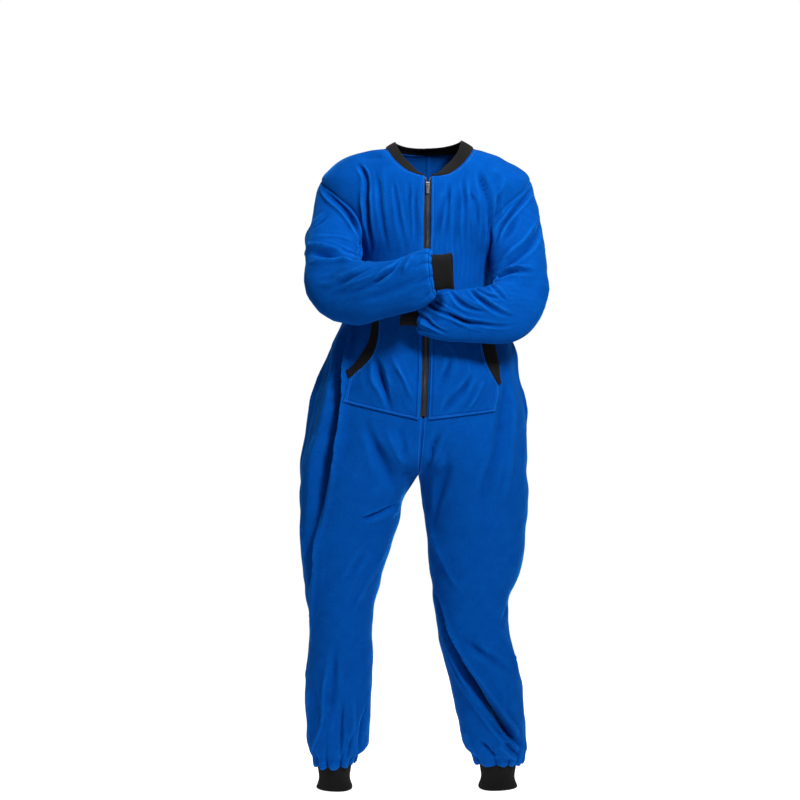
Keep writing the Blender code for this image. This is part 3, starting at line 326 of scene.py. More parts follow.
def surface_normal(surface, side, ring, angle):
    """Outward normal of a surface of rings and angles, from central differences."""
    ring, angle = np.broadcast_arrays(np.asarray(ring, float), np.asarray(angle, float))
    lower = np.minimum(ring + RING_STEP, ANKLE_RING)
    upper = np.maximum(ring - RING_STEP, 0.0)
    down = surface(side, lower, angle) - surface(side, upper, angle)
    around = surface(side, ring, angle + ANGLE_STEP) - surface(side, ring, angle - ANGLE_STEP)
    return SIDES[side] * unit(np.cross(down, around))


def body_normal(side, ring, angle):
    """Outward normal of the body without its folds."""
    return surface_normal(body_point, side, ring, angle)


print(f"half width at the crotch: {middle_and_width('right', CROTCH_RING)[1]:.3f} m")

# %% [markdown]
# ## Seams of the body
# Where the neck, the armholes, the side seams and the centre seams run, as rings and angles.

# %%
def centre_opening(z):
    """Half the opening that the zip fills at a height; it closes below the zip's end."""
    return ZIP_HALF_OPENING * np.clip((z - ZIP_BOTTOM_Z) / ZIP_CLOSE_LENGTH, 0.0, 1.0)


def to_face(face, angle):
    """Front angles as they are; on the back they're mirrored."""
    return angle if face == "front" else 360.0 - angle


def neck_place(side, face, share):
    """Ring and angle on the neck seam: share 0 at the shoulder seam, 1 at the middle."""
    wide = COLUMNS[side]["outer"][NECK_RING]
    top_z = COLUMNS[side]["z"][NECK_RING]
    inner = ZIP_HALF_OPENING if face == "front" else 0.0
    drop = NECK_DROP_FRONT if face == "front" else NECK_DROP_BACK
    distance = inner + (wide - inner) * np.cos(np.radians(90.0 * np.asarray(share, float)))
    ring = ring_at(side, top_z - drop * (1 - (distance / wide) ** NECK_CURVE[side]))
    return ring, to_face(face, angle_at(side, ring, distance))


def armhole_place(face, share):
    """Ring and angle on the armhole: share 0 at the shoulder tip, 1 at the underarm."""
    share = np.asarray(share, float)
    reach = ARMHOLE_FRONT if face == "front" else ARMHOLE_BACK
    ring = TIP_RING + (UNDERARM_RING - TIP_RING) * share
    bulge = np.abs(np.sin(np.pi * share)) ** ARMHOLE_SQUARE
    return ring, to_face(face, 180.0 - reach * bulge)


def side_seam_angle(side, ring):
    """The side seam starts at the underarm and swings to its place over a few rings."""
    share = smooth((np.asarray(ring, float) - UNDERARM_RING) / SIDE_SEAM_SWING)
    return 180.0 + (SIDE_SEAM[side] - 180.0) * share


def centre_angle(side, face, ring):
    """Angle of the centre seam, and of the inseam below the crotch."""
    opening = centre_opening(column(side, "z", ring)) if face == "front" else 0.0
    return to_face(face, angle_at(side, ring, opening))


neck_line = body_point("right", *neck_place("right", "front", np.linspace(0, 1, 60)))
print(f"neck seam, right front: {run_lengths(neck_line, 0)[-1]:.3f} m")

# %% [markdown]
# ## Plain sleeves

# %%
def sleeve_ring_frame(side, at):
    """Middle, directions and half sizes of the sleeve's rings at ring numbers."""
    rows = dict(zip(SLEEVE_COLUMNS, spline(np.array(SLEEVE_RINGS[side]), at).T))
    out = SIDES[side]
    middle = np.stack([out * rows["x"], rows["y"], rows["z"]], axis=-1)
    turn, lean = np.radians(rows["turn"]), np.radians(rows["lean"])
    axis = np.stack(
        [out * np.cos(turn) * np.cos(lean), -np.sin(lean), -np.sin(turn) * np.cos(lean)], axis=-1
    )
    forward = np.array([0.0, -1.0, 0.0])
    to_front = unit(forward - (axis @ forward)[..., None] * axis)
    to_side = -out * np.cross(axis, to_front)
    return middle, axis, to_front, to_side, rows["front"], rows["side"]


def plain_sleeve_point(side, at, angle):
    """Superellipse rings of the sleeve: 0 degrees on the shoulder's side, 90 in front."""
    middle, _, to_front, to_side, front, wide = sleeve_ring_frame(side, at)
    across = signed_power(np.cos(np.radians(angle)), 2 / SLEEVE_POWER)
    along = signed_power(np.sin(np.radians(angle)), 2 / SLEEVE_POWER)
    ring = across[None, :, None] * (wide[:, None] * to_side)[:, None, :]
    ring = ring + along[None, :, None] * (front[:, None] * to_front)[:, None, :]
    return middle[:, None, :] + ring


# %%
def beside_body(side, points, clearance):
    """Points that would lie in the trunk move out to its surface, plus the clearance."""
    ring = ring_at(side, points[..., 2])
    from_middle = SIDES[side] * (points[..., 0] - column(side, "mid_x", ring))
    forward = column(side, "mid_y", ring) - points[..., 1]
    front, back = column(side, "front", ring), column(side, "back", ring)
    wide = column(side, "outer", ring) + clearance
    deep = np.where(forward > 0, front, back) + clearance
    size = (np.abs(from_middle / wide) ** BODY_POWER + np.abs(forward / deep) ** BODY_POWER)
    size = size ** (1 / BODY_POWER)
    grow = np.where((clearance > 0) & (size < 1.0), 1 / np.maximum(size, 0.2), 1.0)
    moved = points.copy()
    moved[..., 0] = column(side, "mid_x", ring) + SIDES[side] * from_middle * grow
    moved[..., 1] = column(side, "mid_y", ring) - forward * grow
    return moved


for wearer_side, rings in SLEEVE_RINGS.items():
    middles = sleeve_ring_frame(wearer_side, np.arange(len(rings)))[0]
    print(f"{wearer_side} sleeve along its middle: {run_lengths(middles, 0)[-1]:.3f} m")

# %% [markdown]
# ## Folds
# A fold is a soft line on the cloth: a trough (depth below 0) or a ridge (above 0), measured in
# millimetres. Its line is given by two or more places as they're seen from the camera, in
# pixels of the frame, or, on the sides that the camera doesn't see, in metres: x and z from
# the back, y and z from the right or left.

# %%
# Styles: lip (how much the cloth swells beside it, as a share of the depth), skew (above 0 the
# fold is steeper on the side to the right of its run), round (2 is a soft bell, 1.2 a sharp
# line), and the shares of its length over which it grows at its start and fades at its end
STYLE_COLUMNS = ("lip", "skew", "round", "grow", "fade")
STYLES = {
    "soft": (0.10, 0.0, 2.0, 0.45, 0.45),
    "ridge": (-0.15, 0.0, 1.7, 0.35, 0.35),
    "edge": (-0.10, 0.0, 1.25, 0.30, 0.30),
    "crease": (0.30, 0.0, 1.35, 0.20, 0.35),
    "pinch": (0.40, 0.0, 1.35, 0.02, 0.60),
    "pleat": (0.22, 0.45, 1.5, 0.12, 0.22),
    "tuck": (0.22, -0.45, 1.5, 0.12, 0.40),
}
FOLD_COLUMNS = ("style", "width", "depth", "places")
# Cloth and view: the folds on it. Widths are in millimetres too.
FOLDS = {
    ("body", "camera"): [
        # chest, below the right shoulder, then towards the zip
        ("ridge", 5, 4, ((371, 180), (371, 202), (374, 228), (379, 252))),
        ("crease", 5, -13, ((358, 163), (366, 178), (366, 200), (369, 225), (374, 260))),
        ("crease", 4, -4, ((376, 168), (379, 190), (381, 214), (386, 238), (392, 262))),
        ("edge", 4, 3, ((383, 160), (385, 190), (389, 222), (397, 248))),
        ("crease", 4, -4, ((394, 180), (397, 205), (402, 230), (408, 252))),
        ("soft", 6, -4, ((405, 190), (406, 212), (409, 240))),
        ("crease", 5, -4, ((416, 190), (415, 214), (418, 248))),
        # chest, below the left shoulder
        ("crease", 6, -6, ((450, 188), (443, 208), (437, 228), (432, 252))),
        ("soft", 10, -5, ((462, 182), (458, 206), (455, 232), (456, 262))),
        ("edge", 6, 4, ((467, 178), (470, 205), (473, 235))),
        ("crease", 7, -10, ((477, 168), (485, 188), (490, 212), (488, 238), (484, 264))),
        ("crease", 4, -4, ((470, 190), (477, 212), (479, 236))),
        ("crease", 7, -8, ((500, 190), (498, 206), (495, 228), (492, 248), (488, 266))),
        ("ridge", 6, 4, ((492, 190), (494, 208), (492, 236), (487, 262))),
        ("crease", 4, -4, ((449, 184), (448, 210), (445, 252))),
        ("edge", 3, 3, ((454, 182), (454, 214), (451, 254))),
        ("crease", 4, -4, ((463, 174), (465, 205), (464, 250))),
        ("edge", 3, 3, ((477, 186), (480, 214), (477, 256))),
        ("crease", 4, -4, ((409, 182), (410, 214), (412, 246))),
        ("edge", 4, 3, ((361, 182), (362, 204), (365, 232))),
        # shoulders
        ("soft", 10, -6, ((352, 158), (372, 156), (386, 158))),
        ("edge", 6, 5, ((484, 166), (502, 176), (500, 198))),
        # right flank: the deep pleat from the waist down the thigh, with a ridge beside it
        ("tuck", 13, -34, ((349, 312), (345, 343), (341, 370), (338, 396), (334, 420), (329, 442),
            (324, 468), (319, 500), (313, 540), (310, 580), (308, 612))),
        ("crease", 7, -18, ((350, 310), (347, 335), (343, 360), (338, 388), (334, 416),
            (328, 450))),
        ("edge", 6, 11, ((352, 322), (349, 350), (346, 380), (344, 404), (340, 432), (334, 462),
            (329, 490))),
        ("ridge", 8, 11, ((320, 492), (317, 530), (315, 580), (313, 619), (312, 650))),
        ("edge", 4, 6, ((309, 440), (304, 480), (302, 520), (306, 570), (311, 606))),
        # crotch and thighs
        ("soft", 12, -13, ((362, 414), (374, 444), (387, 472), (400, 498))),
        ("ridge", 8, 7, ((383, 424), (396, 450), (406, 468))),
        ("soft", 7, -5, ((398, 424), (404, 446), (407, 470))),
        ("crease", 4, -5, ((396, 482), (406, 474), (417, 473))),
        ("edge", 4, -10, ((440, 428), (434, 446), (429, 462), (423, 478))),
        ("edge", 3, 3, ((447, 426), (441, 444), (434, 460), (428, 472))),
        ("soft", 10, -10, ((450, 440), (445, 474), (437, 500), (433, 530))),
        ("crease", 4, -8, ((362, 519), (370, 517), (383, 511), (405, 500))),
        ("edge", 5, 5, ((366, 524), (384, 517), (402, 508))),
        ("ridge", 6, 7, ((352, 616), (368, 580), (390, 546))),
        ("soft", 9, -5, ((343, 590), (356, 566), (374, 540))),
        ("ridge", 6, 7, ((422, 492), (431, 528), (447, 570), (466, 598))),
        ("soft", 14, -12, ((504, 350), (506, 393), (498, 450), (484, 492), (476, 540))),
        ("ridge", 9, 8, ((512, 380), (512, 430), (507, 480), (500, 530))),
        # pockets
        ("soft", 8, -17, ((375, 352), (381, 378), (393, 416))),
        ("ridge", 8, 8, ((389, 350), (404, 378), (416, 406))),
        ("soft", 8, -9, ((474, 366), (463, 390), (449, 404), (442, 418))),
        ("ridge", 8, 7, ((484, 376), (474, 398), (462, 416))),
        ("soft", 7, -5, ((452, 350), (447, 372), (437, 392))),
        # left leg: the deep diagonal from the inner knee to the outer ankle
        ("pleat", 9, -31, ((434, 592), (441, 620), (450, 646), (464, 674), (484, 703), (501, 725),
            (513, 739), (524, 749))),
        ("pleat", 6, -18, ((452, 652), (466, 678), (485, 705), (501, 726), (512, 738))),
        ("ridge", 6, 9, ((443, 648), (460, 682), (480, 712), (497, 735), (508, 747))),
        ("edge", 5, 9, ((438, 604), (455, 640), (474, 670), (492, 698), (510, 722), (520, 738))),
        ("soft", 9, -10, ((458, 636), (476, 650), (496, 662), (519, 676))),
        ("edge", 5, 9, ((496, 622), (504, 640), (514, 658), (521, 676))),
        ("soft", 8, -5, ((500, 624), (508, 611), (517, 603))),
        ("edge", 6, -13, ((478, 740), (488, 750), (497, 761))),
        ("edge", 5, 9, ((466, 726), (472, 744), (483, 764))),
        ("edge", 5, -12, ((503, 741), (512, 751), (520, 761))),
        ("edge", 5, 8, ((497, 743), (508, 755), (516, 764))),
        # right leg, knee to ankle
        ("edge", 6, 11, ((329, 650), (324, 690), (323, 722), (316, 744), (312, 757))),
        ("edge", 5, 7, ((313, 676), (309, 712), (311, 742))),
        ("edge", 6, -11, ((343, 698), (342, 736), (341, 762))),
        ("edge", 6, -11, ((354, 730), (350, 748), (345, 762))),
        ("soft", 9, -7, ((336, 640), (333, 684), (328, 726))),
        ("soft", 7, -8, ((366, 700), (362, 730), (355, 758))),
        ("ridge", 7, 6, ((352, 690), (354, 722), (350, 752))),
    ],
    ("sleeve_right", "camera"): [
        # right sleeve: the hollow beside the armhole, the elbow, the crook and the forearm
        ("edge", 5, 7, ((318, 181), (330, 182), (343, 194), (356, 212), (363, 232))),
        ("crease", 6, -19, ((322, 178), (330, 193), (343, 207), (355, 224), (364, 244))),
        ("edge", 4, 4, ((309, 226), (317, 220), (326, 210))),
        ("crease", 4, -4, ((312, 230), (320, 223), (328, 216))),
        ("ridge", 6, 4, ((306, 240), (322, 236), (342, 237), (360, 246))),
        ("crease", 4, -5, ((322, 243), (336, 247), (350, 253), (364, 257))),
        ("tuck", 8, -19, ((356, 259), (340, 257), (322, 255), (307, 252))),
        ("edge", 7, 8, ((303, 247), (316, 245), (332, 246), (347, 252))),
        ("edge", 6, 8, ((304, 262), (320, 262), (340, 261), (360, 261))),
        ("crease", 6, -9, ((359, 240), (363, 250), (366, 262))),
        ("edge", 4, 5, ((313, 283), (330, 283), (348, 273), (371, 263))),
        ("soft", 5, -5, ((328, 289), (348, 279), (378, 265))),
        ("edge", 4, 5, ((334, 292), (356, 282), (380, 273), (402, 262))),
        ("soft", 5, -4, ((345, 295), (368, 286), (392, 277))),
        ("crease", 4, -11, ((370, 285), (386, 275), (398, 263), (408, 249))),
        ("ridge", 7, 6, ((402, 276), (408, 264), (416, 252))),
        ("soft", 8, -4, ((345, 304), (375, 296), (405, 284), (425, 274))),
    ],
    ("sleeve_left", "camera"): [
        # left sleeve: the same, and the folds that fan out of the crook and the wrist
        ("crease", 5, -9, ((533, 184), (524, 198), (511, 214), (499, 231), (496, 248))),
        ("edge", 6, 6, ((528, 184), (518, 196), (506, 209), (497, 222))),
        ("tuck", 7, -10, ((544, 222), (535, 239), (520, 255), (506, 266), (494, 275))),
        ("ridge", 8, 7, ((539, 218), (526, 238), (512, 251), (498, 262))),
        ("soft", 7, -5, ((520, 214), (510, 230), (500, 246))),
        ("edge", 4, 5, ((494, 274), (508, 268), (522, 267), (540, 270))),
        ("pinch", 5, -8, ((496, 277), (510, 272), (526, 271), (540, 274))),
        ("pinch", 4, -5, ((488, 282), (500, 294), (512, 305))),
        ("pinch", 4, -5, ((475, 288), (489, 296), (507, 299))),
        ("pinch", 4, -7, ((470, 288), (479, 299), (499, 312), (518, 318))),
        ("pinch", 4, -6, ((450, 291), (462, 304), (476, 310), (492, 312))),
        ("pinch", 4, -7, ((419, 298), (440, 311), (464, 321), (500, 326), (524, 322))),
        ("pinch", 4, -6, ((434, 302), (452, 314), (474, 326), (500, 331))),
        ("pinch", 4, -6, ((419, 312), (433, 326), (452, 335))),
        ("edge", 4, 4, ((456, 290), (470, 301), (486, 308))),
        ("edge", 4, 5, ((474, 286), (486, 298), (503, 309), (520, 315))),
        ("edge", 4, 5, ((424, 298), (442, 308), (464, 317), (498, 321))),
        ("soft", 9, -5, ((512, 178), (508, 196), (503, 212))),
    ],
    ("body", "back"): [
        # back: below the shoulders, down the middle, and the sag over the seat
        ("crease", 9, -17, ((-0.168, -0.15), (-0.145, -0.21), (-0.105, -0.29), (-0.08, -0.36))),
        ("crease", 8, -15, ((0.172, -0.14), (0.15, -0.21), (0.118, -0.28), (0.075, -0.34))),
        ("ridge", 8, 7, ((-0.15, -0.14), (-0.125, -0.22), (-0.085, -0.31))),
        ("ridge", 8, 7, ((0.152, -0.15), (0.128, -0.22), (0.092, -0.3))),
        ("soft", 12, -11, ((-0.058, -0.09), (-0.065, -0.19), (-0.05, -0.3))),
        ("soft", 11, -9, ((0.07, -0.1), (0.062, -0.2), (0.066, -0.31))),
        ("soft", 13, -9, ((0.015, -0.13), (0.02, -0.26), (0.008, -0.4))),
        ("pleat", 11, -20, ((-0.165, -0.36), (-0.135, -0.45), (-0.085, -0.52), (-0.03, -0.55))),
        ("tuck", 11, -20, ((0.16, -0.37), (0.128, -0.46), (0.08, -0.53), (0.035, -0.555))),
        ("ridge", 10, 11, ((-0.13, -0.4), (-0.07, -0.475), (0.0, -0.505), (0.066, -0.48))),
        ("soft", 12, -13, ((-0.1, -0.37), (-0.04, -0.43), (0.03, -0.435), (0.095, -0.39))),
        ("crease", 9, -15, ((-0.215, -0.6), (-0.19, -0.68), (-0.14, -0.745), (-0.075, -0.765))),
        ("crease", 9, -15, ((0.2, -0.6), (0.175, -0.68), (0.12, -0.75), (0.055, -0.765))),
        ("ridge", 9, 9, ((-0.18, -0.62), (-0.135, -0.7), (-0.06, -0.735))),
        ("ridge", 9, 9, ((0.165, -0.62), (0.11, -0.71), (0.045, -0.735))),
        # back of the legs: behind the knees and down the calves
        ("soft", 9, -17, ((-0.245, -0.965), (-0.205, -1.01), (-0.16, -1.022), (-0.115, -1.))),
        ("soft", 8, -13, ((-0.118, -1.045), (-0.165, -1.075), (-0.225, -1.062))),
        ("ridge", 8, 9, ((-0.25, -1.01), (-0.19, -1.047), (-0.13, -1.03))),
        ("soft", 9, -17, ((0.195, -0.972), (0.155, -1.015), (0.105, -1.025), (0.055, -0.995))),
        ("soft", 8, -13, ((0.06, -1.045), (0.115, -1.076), (0.18, -1.06))),
        ("ridge", 8, 9, ((0.195, -1.02), (0.135, -1.052), (0.08, -1.035))),
        ("pleat", 9, -18, ((-0.125, -1.11), (-0.15, -1.2), (-0.195, -1.28), (-0.225, -1.35))),
        ("tuck", 9, -18, ((0.075, -1.11), (0.11, -1.2), (0.165, -1.28), (0.205, -1.34))),
        ("soft", 9, -11, ((-0.225, -1.14), (-0.235, -1.22), (-0.215, -1.3))),
        ("soft", 9, -11, ((0.19, -1.14), (0.205, -1.22), (0.19, -1.3))),
        ("soft", 14, -14, ((-0.12, -0.8), (-0.165, -0.87), (-0.185, -0.95))),
        ("soft", 14, -14, ((0.09, -0.8), (0.135, -0.88), (0.15, -0.95))),
    ],
    ("body", "right"): [
        # sides of the body and the legs
        ("pleat", 10, -22, ((0.055, -0.34), (0.06, -0.44), (0.045, -0.56), (0.05, -0.68))),
        ("ridge", 9, 11, ((0.02, -0.4), (0.022, -0.52), (0.012, -0.66), (0.015, -0.78))),
        ("soft", 12, -14, ((0.07, -0.72), (0.05, -0.83), (0.015, -0.93), (-0.01, -1.01))),
        ("soft", 9, -9, ((0.055, -0.955), (0.025, -1.005), (-0.015, -1.045))),
        ("soft", 9, -13, ((0.045, -1.1), (0.02, -1.19), (0.035, -1.29))),
    ],
    ("body", "left"): [
        ("tuck", 10, -22, ((0.06, -0.35), (0.058, -0.46), (0.05, -0.58), (0.045, -0.68))),
        ("ridge", 9, 9, ((0.02, -0.38), (0.012, -0.52), (0.02, -0.66))),
        ("soft", 12, -14, ((0.06, -0.72), (0.04, -0.84), (0.005, -0.95))),
        ("soft", 9, -9, ((0.05, -0.96), (0.02, -1.015), (-0.02, -1.055))),
        ("soft", 9, -13, ((0.04, -1.11), (0.005, -1.2), (0.03, -1.3))),
    ],
    ("sleeve_right", "right"): [
        # sleeves from the sides and the back
        ("crease", 7, -16, ((0.045, -0.155), (0.01, -0.205), (-0.045, -0.245), (-0.09, -0.255))),
        ("ridge", 7, 8, ((0.03, -0.14), (-0.01, -0.185), (-0.06, -0.222))),
        ("soft", 8, -9, ((0.02, -0.24), (-0.03, -0.28), (-0.08, -0.31))),
        ("soft", 8, -8, ((-0.02, -0.3), (-0.08, -0.335), (-0.13, -0.35))),
    ],
    ("sleeve_right", "back"): [
        ("crease", 7, -13, ((-0.235, -0.15), (-0.215, -0.205), (-0.19, -0.25))),
        ("soft", 8, -10, ((-0.252, -0.245), (-0.225, -0.278), (-0.185, -0.29))),
        ("ridge", 7, 8, ((-0.262, -0.225), (-0.235, -0.25), (-0.2, -0.268))),
    ],
    ("sleeve_left", "left"): [
        ("crease", 7, -16, ((0.05, -0.16), (0.02, -0.215), (-0.03, -0.26), (-0.08, -0.28))),
        ("ridge", 7, 8, ((0.03, -0.15), (0.0, -0.205), (-0.045, -0.24))),
        ("crease", 7, -14, ((0.01, -0.27), (-0.03, -0.32), (-0.075, -0.35))),
        ("soft", 8, -8, ((0.02, -0.32), (-0.03, -0.365), (-0.09, -0.39))),
    ],
    ("sleeve_left", "back"): [
        ("crease", 7, -13, ((0.238, -0.155), (0.22, -0.215), (0.195, -0.265))),
        ("soft", 8, -10, ((0.252, -0.27), (0.226, -0.306), (0.19, -0.325))),
        ("ridge", 7, 8, ((0.262, -0.245), (0.238, -0.275), (0.202, -0.298))),
    ],
}
print(f"folds: {sum(len(rows) for rows in FOLDS.values())}")

# %%
# Pockets, from the top down: distance from the middle plane, and height, of the hand opening
# and outer edge, and of the binding's outer edge
POCKET_INNER_EDGE = (0.0105, -0.350, -0.594)
POCKET_EDGE = {
    "right": [(0.101, -0.350), (0.101, -0.378), (0.103, -0.412), (0.109, -0.441),
              (0.124, -0.468), (0.163, -0.507), (0.168, -0.533), (0.172, -0.559)],
    "left": [(0.112, -0.350), (0.115, -0.390), (0.120, -0.426), (0.126, -0.451),
             (0.136, -0.481), (0.161, -0.522), (0.160, -0.544), (0.155, -0.579)],
}
BINDING_EDGE = {
    "right": [(0.117, -0.350), (0.117, -0.374), (0.119, -0.405), (0.127, -0.434),
              (0.142, -0.459), (0.167, -0.491)],
    "left": [(0.134, -0.350), (0.140, -0.388), (0.149, -0.424), (0.156, -0.456),
             (0.163, -0.489), (0.168, -0.517)],
}
OPENING_POINTS = 6
POCKET_GAP, BINDING_GAP = 0.0018, 0.0006
POCKET_ROWS, POCKET_COLUMNS = 84, 66
BINDING_ROWS, BINDING_COLUMNS = 90, 10
BINDING_CROWN = 1.1 * MM

# %%
# Soft unevenness of the worn cloth: height in millimetres, wave vector in turns per metre, phase
WAVES = [
    (0.9, (5.1, 2.2, 6.3), 0.4),
    (0.8, (-7.4, 3.1, 4.2), 2.1),
    (0.6, (9.3, -4.0, -8.1), 4.4),
    (0.5, (3.6, 9.5, 12.7), 1.3),
    (0.35, (-14.2, 8.8, 16.1), 5.2),
    (0.25, (21.5, 6.4, -18.3), 3.0),
]
# Fine streaks where the cloth is pulled: cloth, the height it is strongest at and its reach in
# metres, crest height in millimetres, turns per metre across the streaks, wander and phase
STREAK_COLUMNS = ("cloth", "at", "reach", "height", "vector", "wander", "phase")
STREAKS = [
    ("body", -0.19, 0.10, 1.3, (46.0, 0.0, 5.0), 1.5, 0.3),
    ("body", -0.23, 0.09, 1.1, (83.0, 0.0, -9.0), 1.9, 2.2),
    ("body", -0.45, 0.13, 1.2, (30.0, 8.0, 6.0), 1.8, 1.1),
    ("body", -0.70, 0.16, 1.3, (22.0, 9.0, -7.0), 1.6, 4.0),
    ("body", -1.00, 0.13, 1.0, (17.0, 12.0, 16.0), 1.8, 5.1),
    ("body", -1.26, 0.13, 1.8, (32.0, 12.0, 8.0), 1.7, 0.8),
    ("sleeve", -0.20, 0.09, 1.0, (20.0, 16.0, 26.0), 1.8, 1.9),
    ("sleeve", -0.30, 0.08, 0.8, (8.0, 14.0, 40.0), 1.6, 3.6),
    ("sleeve", -0.33, 0.10, 0.5, (-14.0, 22.0, 66.0), 2.0, 0.9),
]
MEAN_CREST = 0.35       # of a streak's crest, so that streaks lift and sink the cloth alike
LINE_STEPS = 7          # pieces of a fold's line between two of its places
LINE_REACH = 3.4        # a fold ends this many widths from its line
METRES_TO_PIXELS = 460.0
# A fold lies on points that face its view this much, are seen this close to its line in pixels,
# and lie within this depth of the nearest one
FACES_CAMERA, FACES_SIDE = 0.08, 0.15
NEAR_PIXELS, NEAR_DEPTH = 3.0, 0.02
# The nearest points weigh most: 1 over (pixels away + these)^2; then the line is averaged
LEAST_PIXELS, LINE_PASSES = 0.3, 3
# Lips: how far out they are and how wide, in widths of the fold
LIP_AT, LIP_WIDTH = 1.9, 0.8
# Unevenness along a fold: of its width and of its depth, and the narrowest share of its width
WIDTH_WAVE, DEPTH_WAVE, NARROWEST = 0.16, 0.14, 0.72


# %%
def camera_view(points):
    """Pixels of the frame at which points are seen, and their distances along the view."""
    away = points - CAMERA_PLACE
    forward = np.array([0.0, math.cos(CAMERA_PITCH), -math.sin(CAMERA_PITCH)])
    up = np.array([0.0, math.sin(CAMERA_PITCH), math.cos(CAMERA_PITCH)])
    depth = away @ forward
    scale = LENS / SENSOR * FRAME / depth
    pixels = np.stack([FRAME / 2 + away[..., 0] * scale, FRAME / 2 - (away @ up) * scale], axis=-1)
    return pixels, depth


# Hidden sides: which axis runs across, and where the side faces
SIDE_VIEWS = {
    "back": (0, np.array([0.0, 1.0, 0.0])),
    "right": (1, np.array([-1.0, 0.0, 0.0])),
    "left": (1, np.array([1.0, 0.0, 0.0])),
}


def seen_from(view, points, normals):
    """Flat places, depths and facing points of a surface as a view shows it."""
    if view == "camera":
        flat, depth = camera_view(points)
        facing = np.sum(unit(points - CAMERA_PLACE) * normals, axis=-1) < -FACES_CAMERA
        return flat, depth, facing
    across, outward = SIDE_VIEWS[view]
    flat = points[:, [across, 2]] * METRES_TO_PIXELS
    return flat, -points @ outward, normals @ outward > FACES_SIDE


def lay_line(samples, view, places):
    """A fold's line on the cloth: a curve through its places, laid on the nearest facing points."""
    points, normals = samples
    flat, depth, facing = seen_from(view, points, normals)
    points, flat, depth = points[facing], flat[facing], depth[facing]
    places = np.array(places, float) * (1.0 if view == "camera" else METRES_TO_PIXELS)
    curve = spline(places, np.linspace(0, len(places) - 1, LINE_STEPS * (len(places) - 1) + 1))
    away = np.linalg.norm(curve[:, None] - flat[None], axis=-1)
    near = away < away.min(axis=1, keepdims=True) + NEAR_PIXELS
    nearest = np.where(near, depth, np.inf).min(axis=1, keepdims=True)
    weight = np.where(near & (depth < nearest + NEAR_DEPTH), 1 / (away + LEAST_PIXELS) ** 2, 0.0)
    line = (weight @ points) / weight.sum(axis=1, keepdims=True)
    for _ in range(LINE_PASSES):
        line[1:-1] = averaged(line)
    return line


# %%
def lay_folds(cloth, samples):
    """All folds of one cloth as lines with the cloth's normals along them."""
    laid = []
    rows = [(place, row) for place, group in FOLDS.items() for row in group]
    for number, ((on_cloth, view), values) in enumerate(rows):
        if on_cloth != cloth:
            continue
        fold = dict(zip(FOLD_COLUMNS, values))
        line = lay_line(samples, view, fold["places"])
        away = np.linalg.norm(line[:, None] - samples[0][None], axis=-1)
        normals = samples[1][away.argmin(axis=1)]
        style = dict(zip(STYLE_COLUMNS, STYLES[fold["style"]]))
        laid.append(dict(line=line, normals=normals, width=fold["width"] * MM,
                         depth=fold["depth"] * MM, seed=number, **style))
    return laid


def fold_heights(laid, points, normals):
    """How far the folds lift or sink each point. The profile across a fold is a bell with
    lips, and it grows and fades along the fold with a little unevenness."""
    shape = points.shape[:-1]
    points, normals = points.reshape(-1, 3), normals.reshape(-1, 3)
    heights = np.zeros(len(points))
    for fold in laid:
        line, width = fold["line"], fold["width"]
        reach = LINE_REACH * width
        inside = (points > line.min(axis=0) - reach) & (points < line.max(axis=0) + reach)
        near = np.flatnonzero(inside.all(axis=1))
        if not len(near):
            continue
        run = np.diff(line, axis=0)
        off = points[near, None] - line[None, :-1]
        along = np.clip(np.sum(off * run, axis=-1) / np.sum(run * run, axis=-1), 0.0, 1.0)
        gap = off - along[..., None] * run
        distance = np.linalg.norm(gap, axis=-1)
        best = distance.argmin(axis=1)
        rows = np.arange(len(near))
        distance, gap = distance[rows, best], gap[rows, best]
        share = (best + along[rows, best]) / len(run)
        right = np.sum(np.cross(run[best], gap) * normals[near], axis=-1) < 0
        swell = smooth(share / fold["grow"]) * smooth((1 - share) / fold["fade"])
        wave = 1 + WIDTH_WAVE * np.sin(9 * share + 2.4 * fold["seed"])
        wide = width * (NARROWEST + (1 - NARROWEST) * swell) * wave
        wide = wide * np.where(right, 1 - fold["skew"], 1 + 0.5 * fold["skew"])
        across = distance / wide
        lips = fold["lip"] * bell(across - LIP_AT, LIP_WIDTH)
        profile = np.exp(-(across ** fold["round"])) - lips
        facing = np.clip(1.6 * np.sum(normals[near] * fold["normals"][best], axis=-1), 0.0, 1.0)
        uneven = 1 + DEPTH_WAVE * np.sin(14 * share + 1.7 * fold["seed"])
        heights[near] += fold["depth"] * profile * swell * facing * uneven
    return heights.reshape(shape)


# %%
def wave_heights(points):
    """Soft waves of worn cloth: a sum of slanted sines."""
    total = np.zeros(points.shape[:-1])
    for height, vector, phase in WAVES:
        total += height * MM * np.sin(2 * math.pi * (points @ np.array(vector)) + phase)
    return total


def streak_heights(cloth, points):
    """Fine streaks of pulled cloth: rounded crests in rows that wander, strongest at a height."""
    total = np.zeros(points.shape[:-1])
    for values in STREAKS:
        streak = dict(zip(STREAK_COLUMNS, values))
        if streak["cloth"] != cloth:
            continue
        x, y, z = points[..., 0], points[..., 1], points[..., 2]
        wander = 1.1 * np.sin(2 * math.pi * (5.1 * z + 3.3 * x))
        wander = wander + 0.7 * np.sin(2 * math.pi * (9.7 * z - 6.1 * x + 4.3 * y))
        turn = 2 * math.pi * (points @ np.array(streak["vector"])) + wander * streak["wander"]
        turn = turn + streak["phase"]
        crest = 1 - np.abs(np.sin(0.5 * turn)) ** 0.9
        patchy = 0.55 + 0.45 * np.sin(2 * math.pi * (3.1 * z + 4.7 * x) + 2 * streak["phase"])
        near = bell(z - streak["at"], streak["reach"])
        total += streak["height"] * MM * (crest - MEAN_CREST) * patchy * near
    return total


def groove(distance, depth, width):
    """A bell-shaped dip beside a seam or under a row of stitches."""
    return -depth * bell(distance, width)


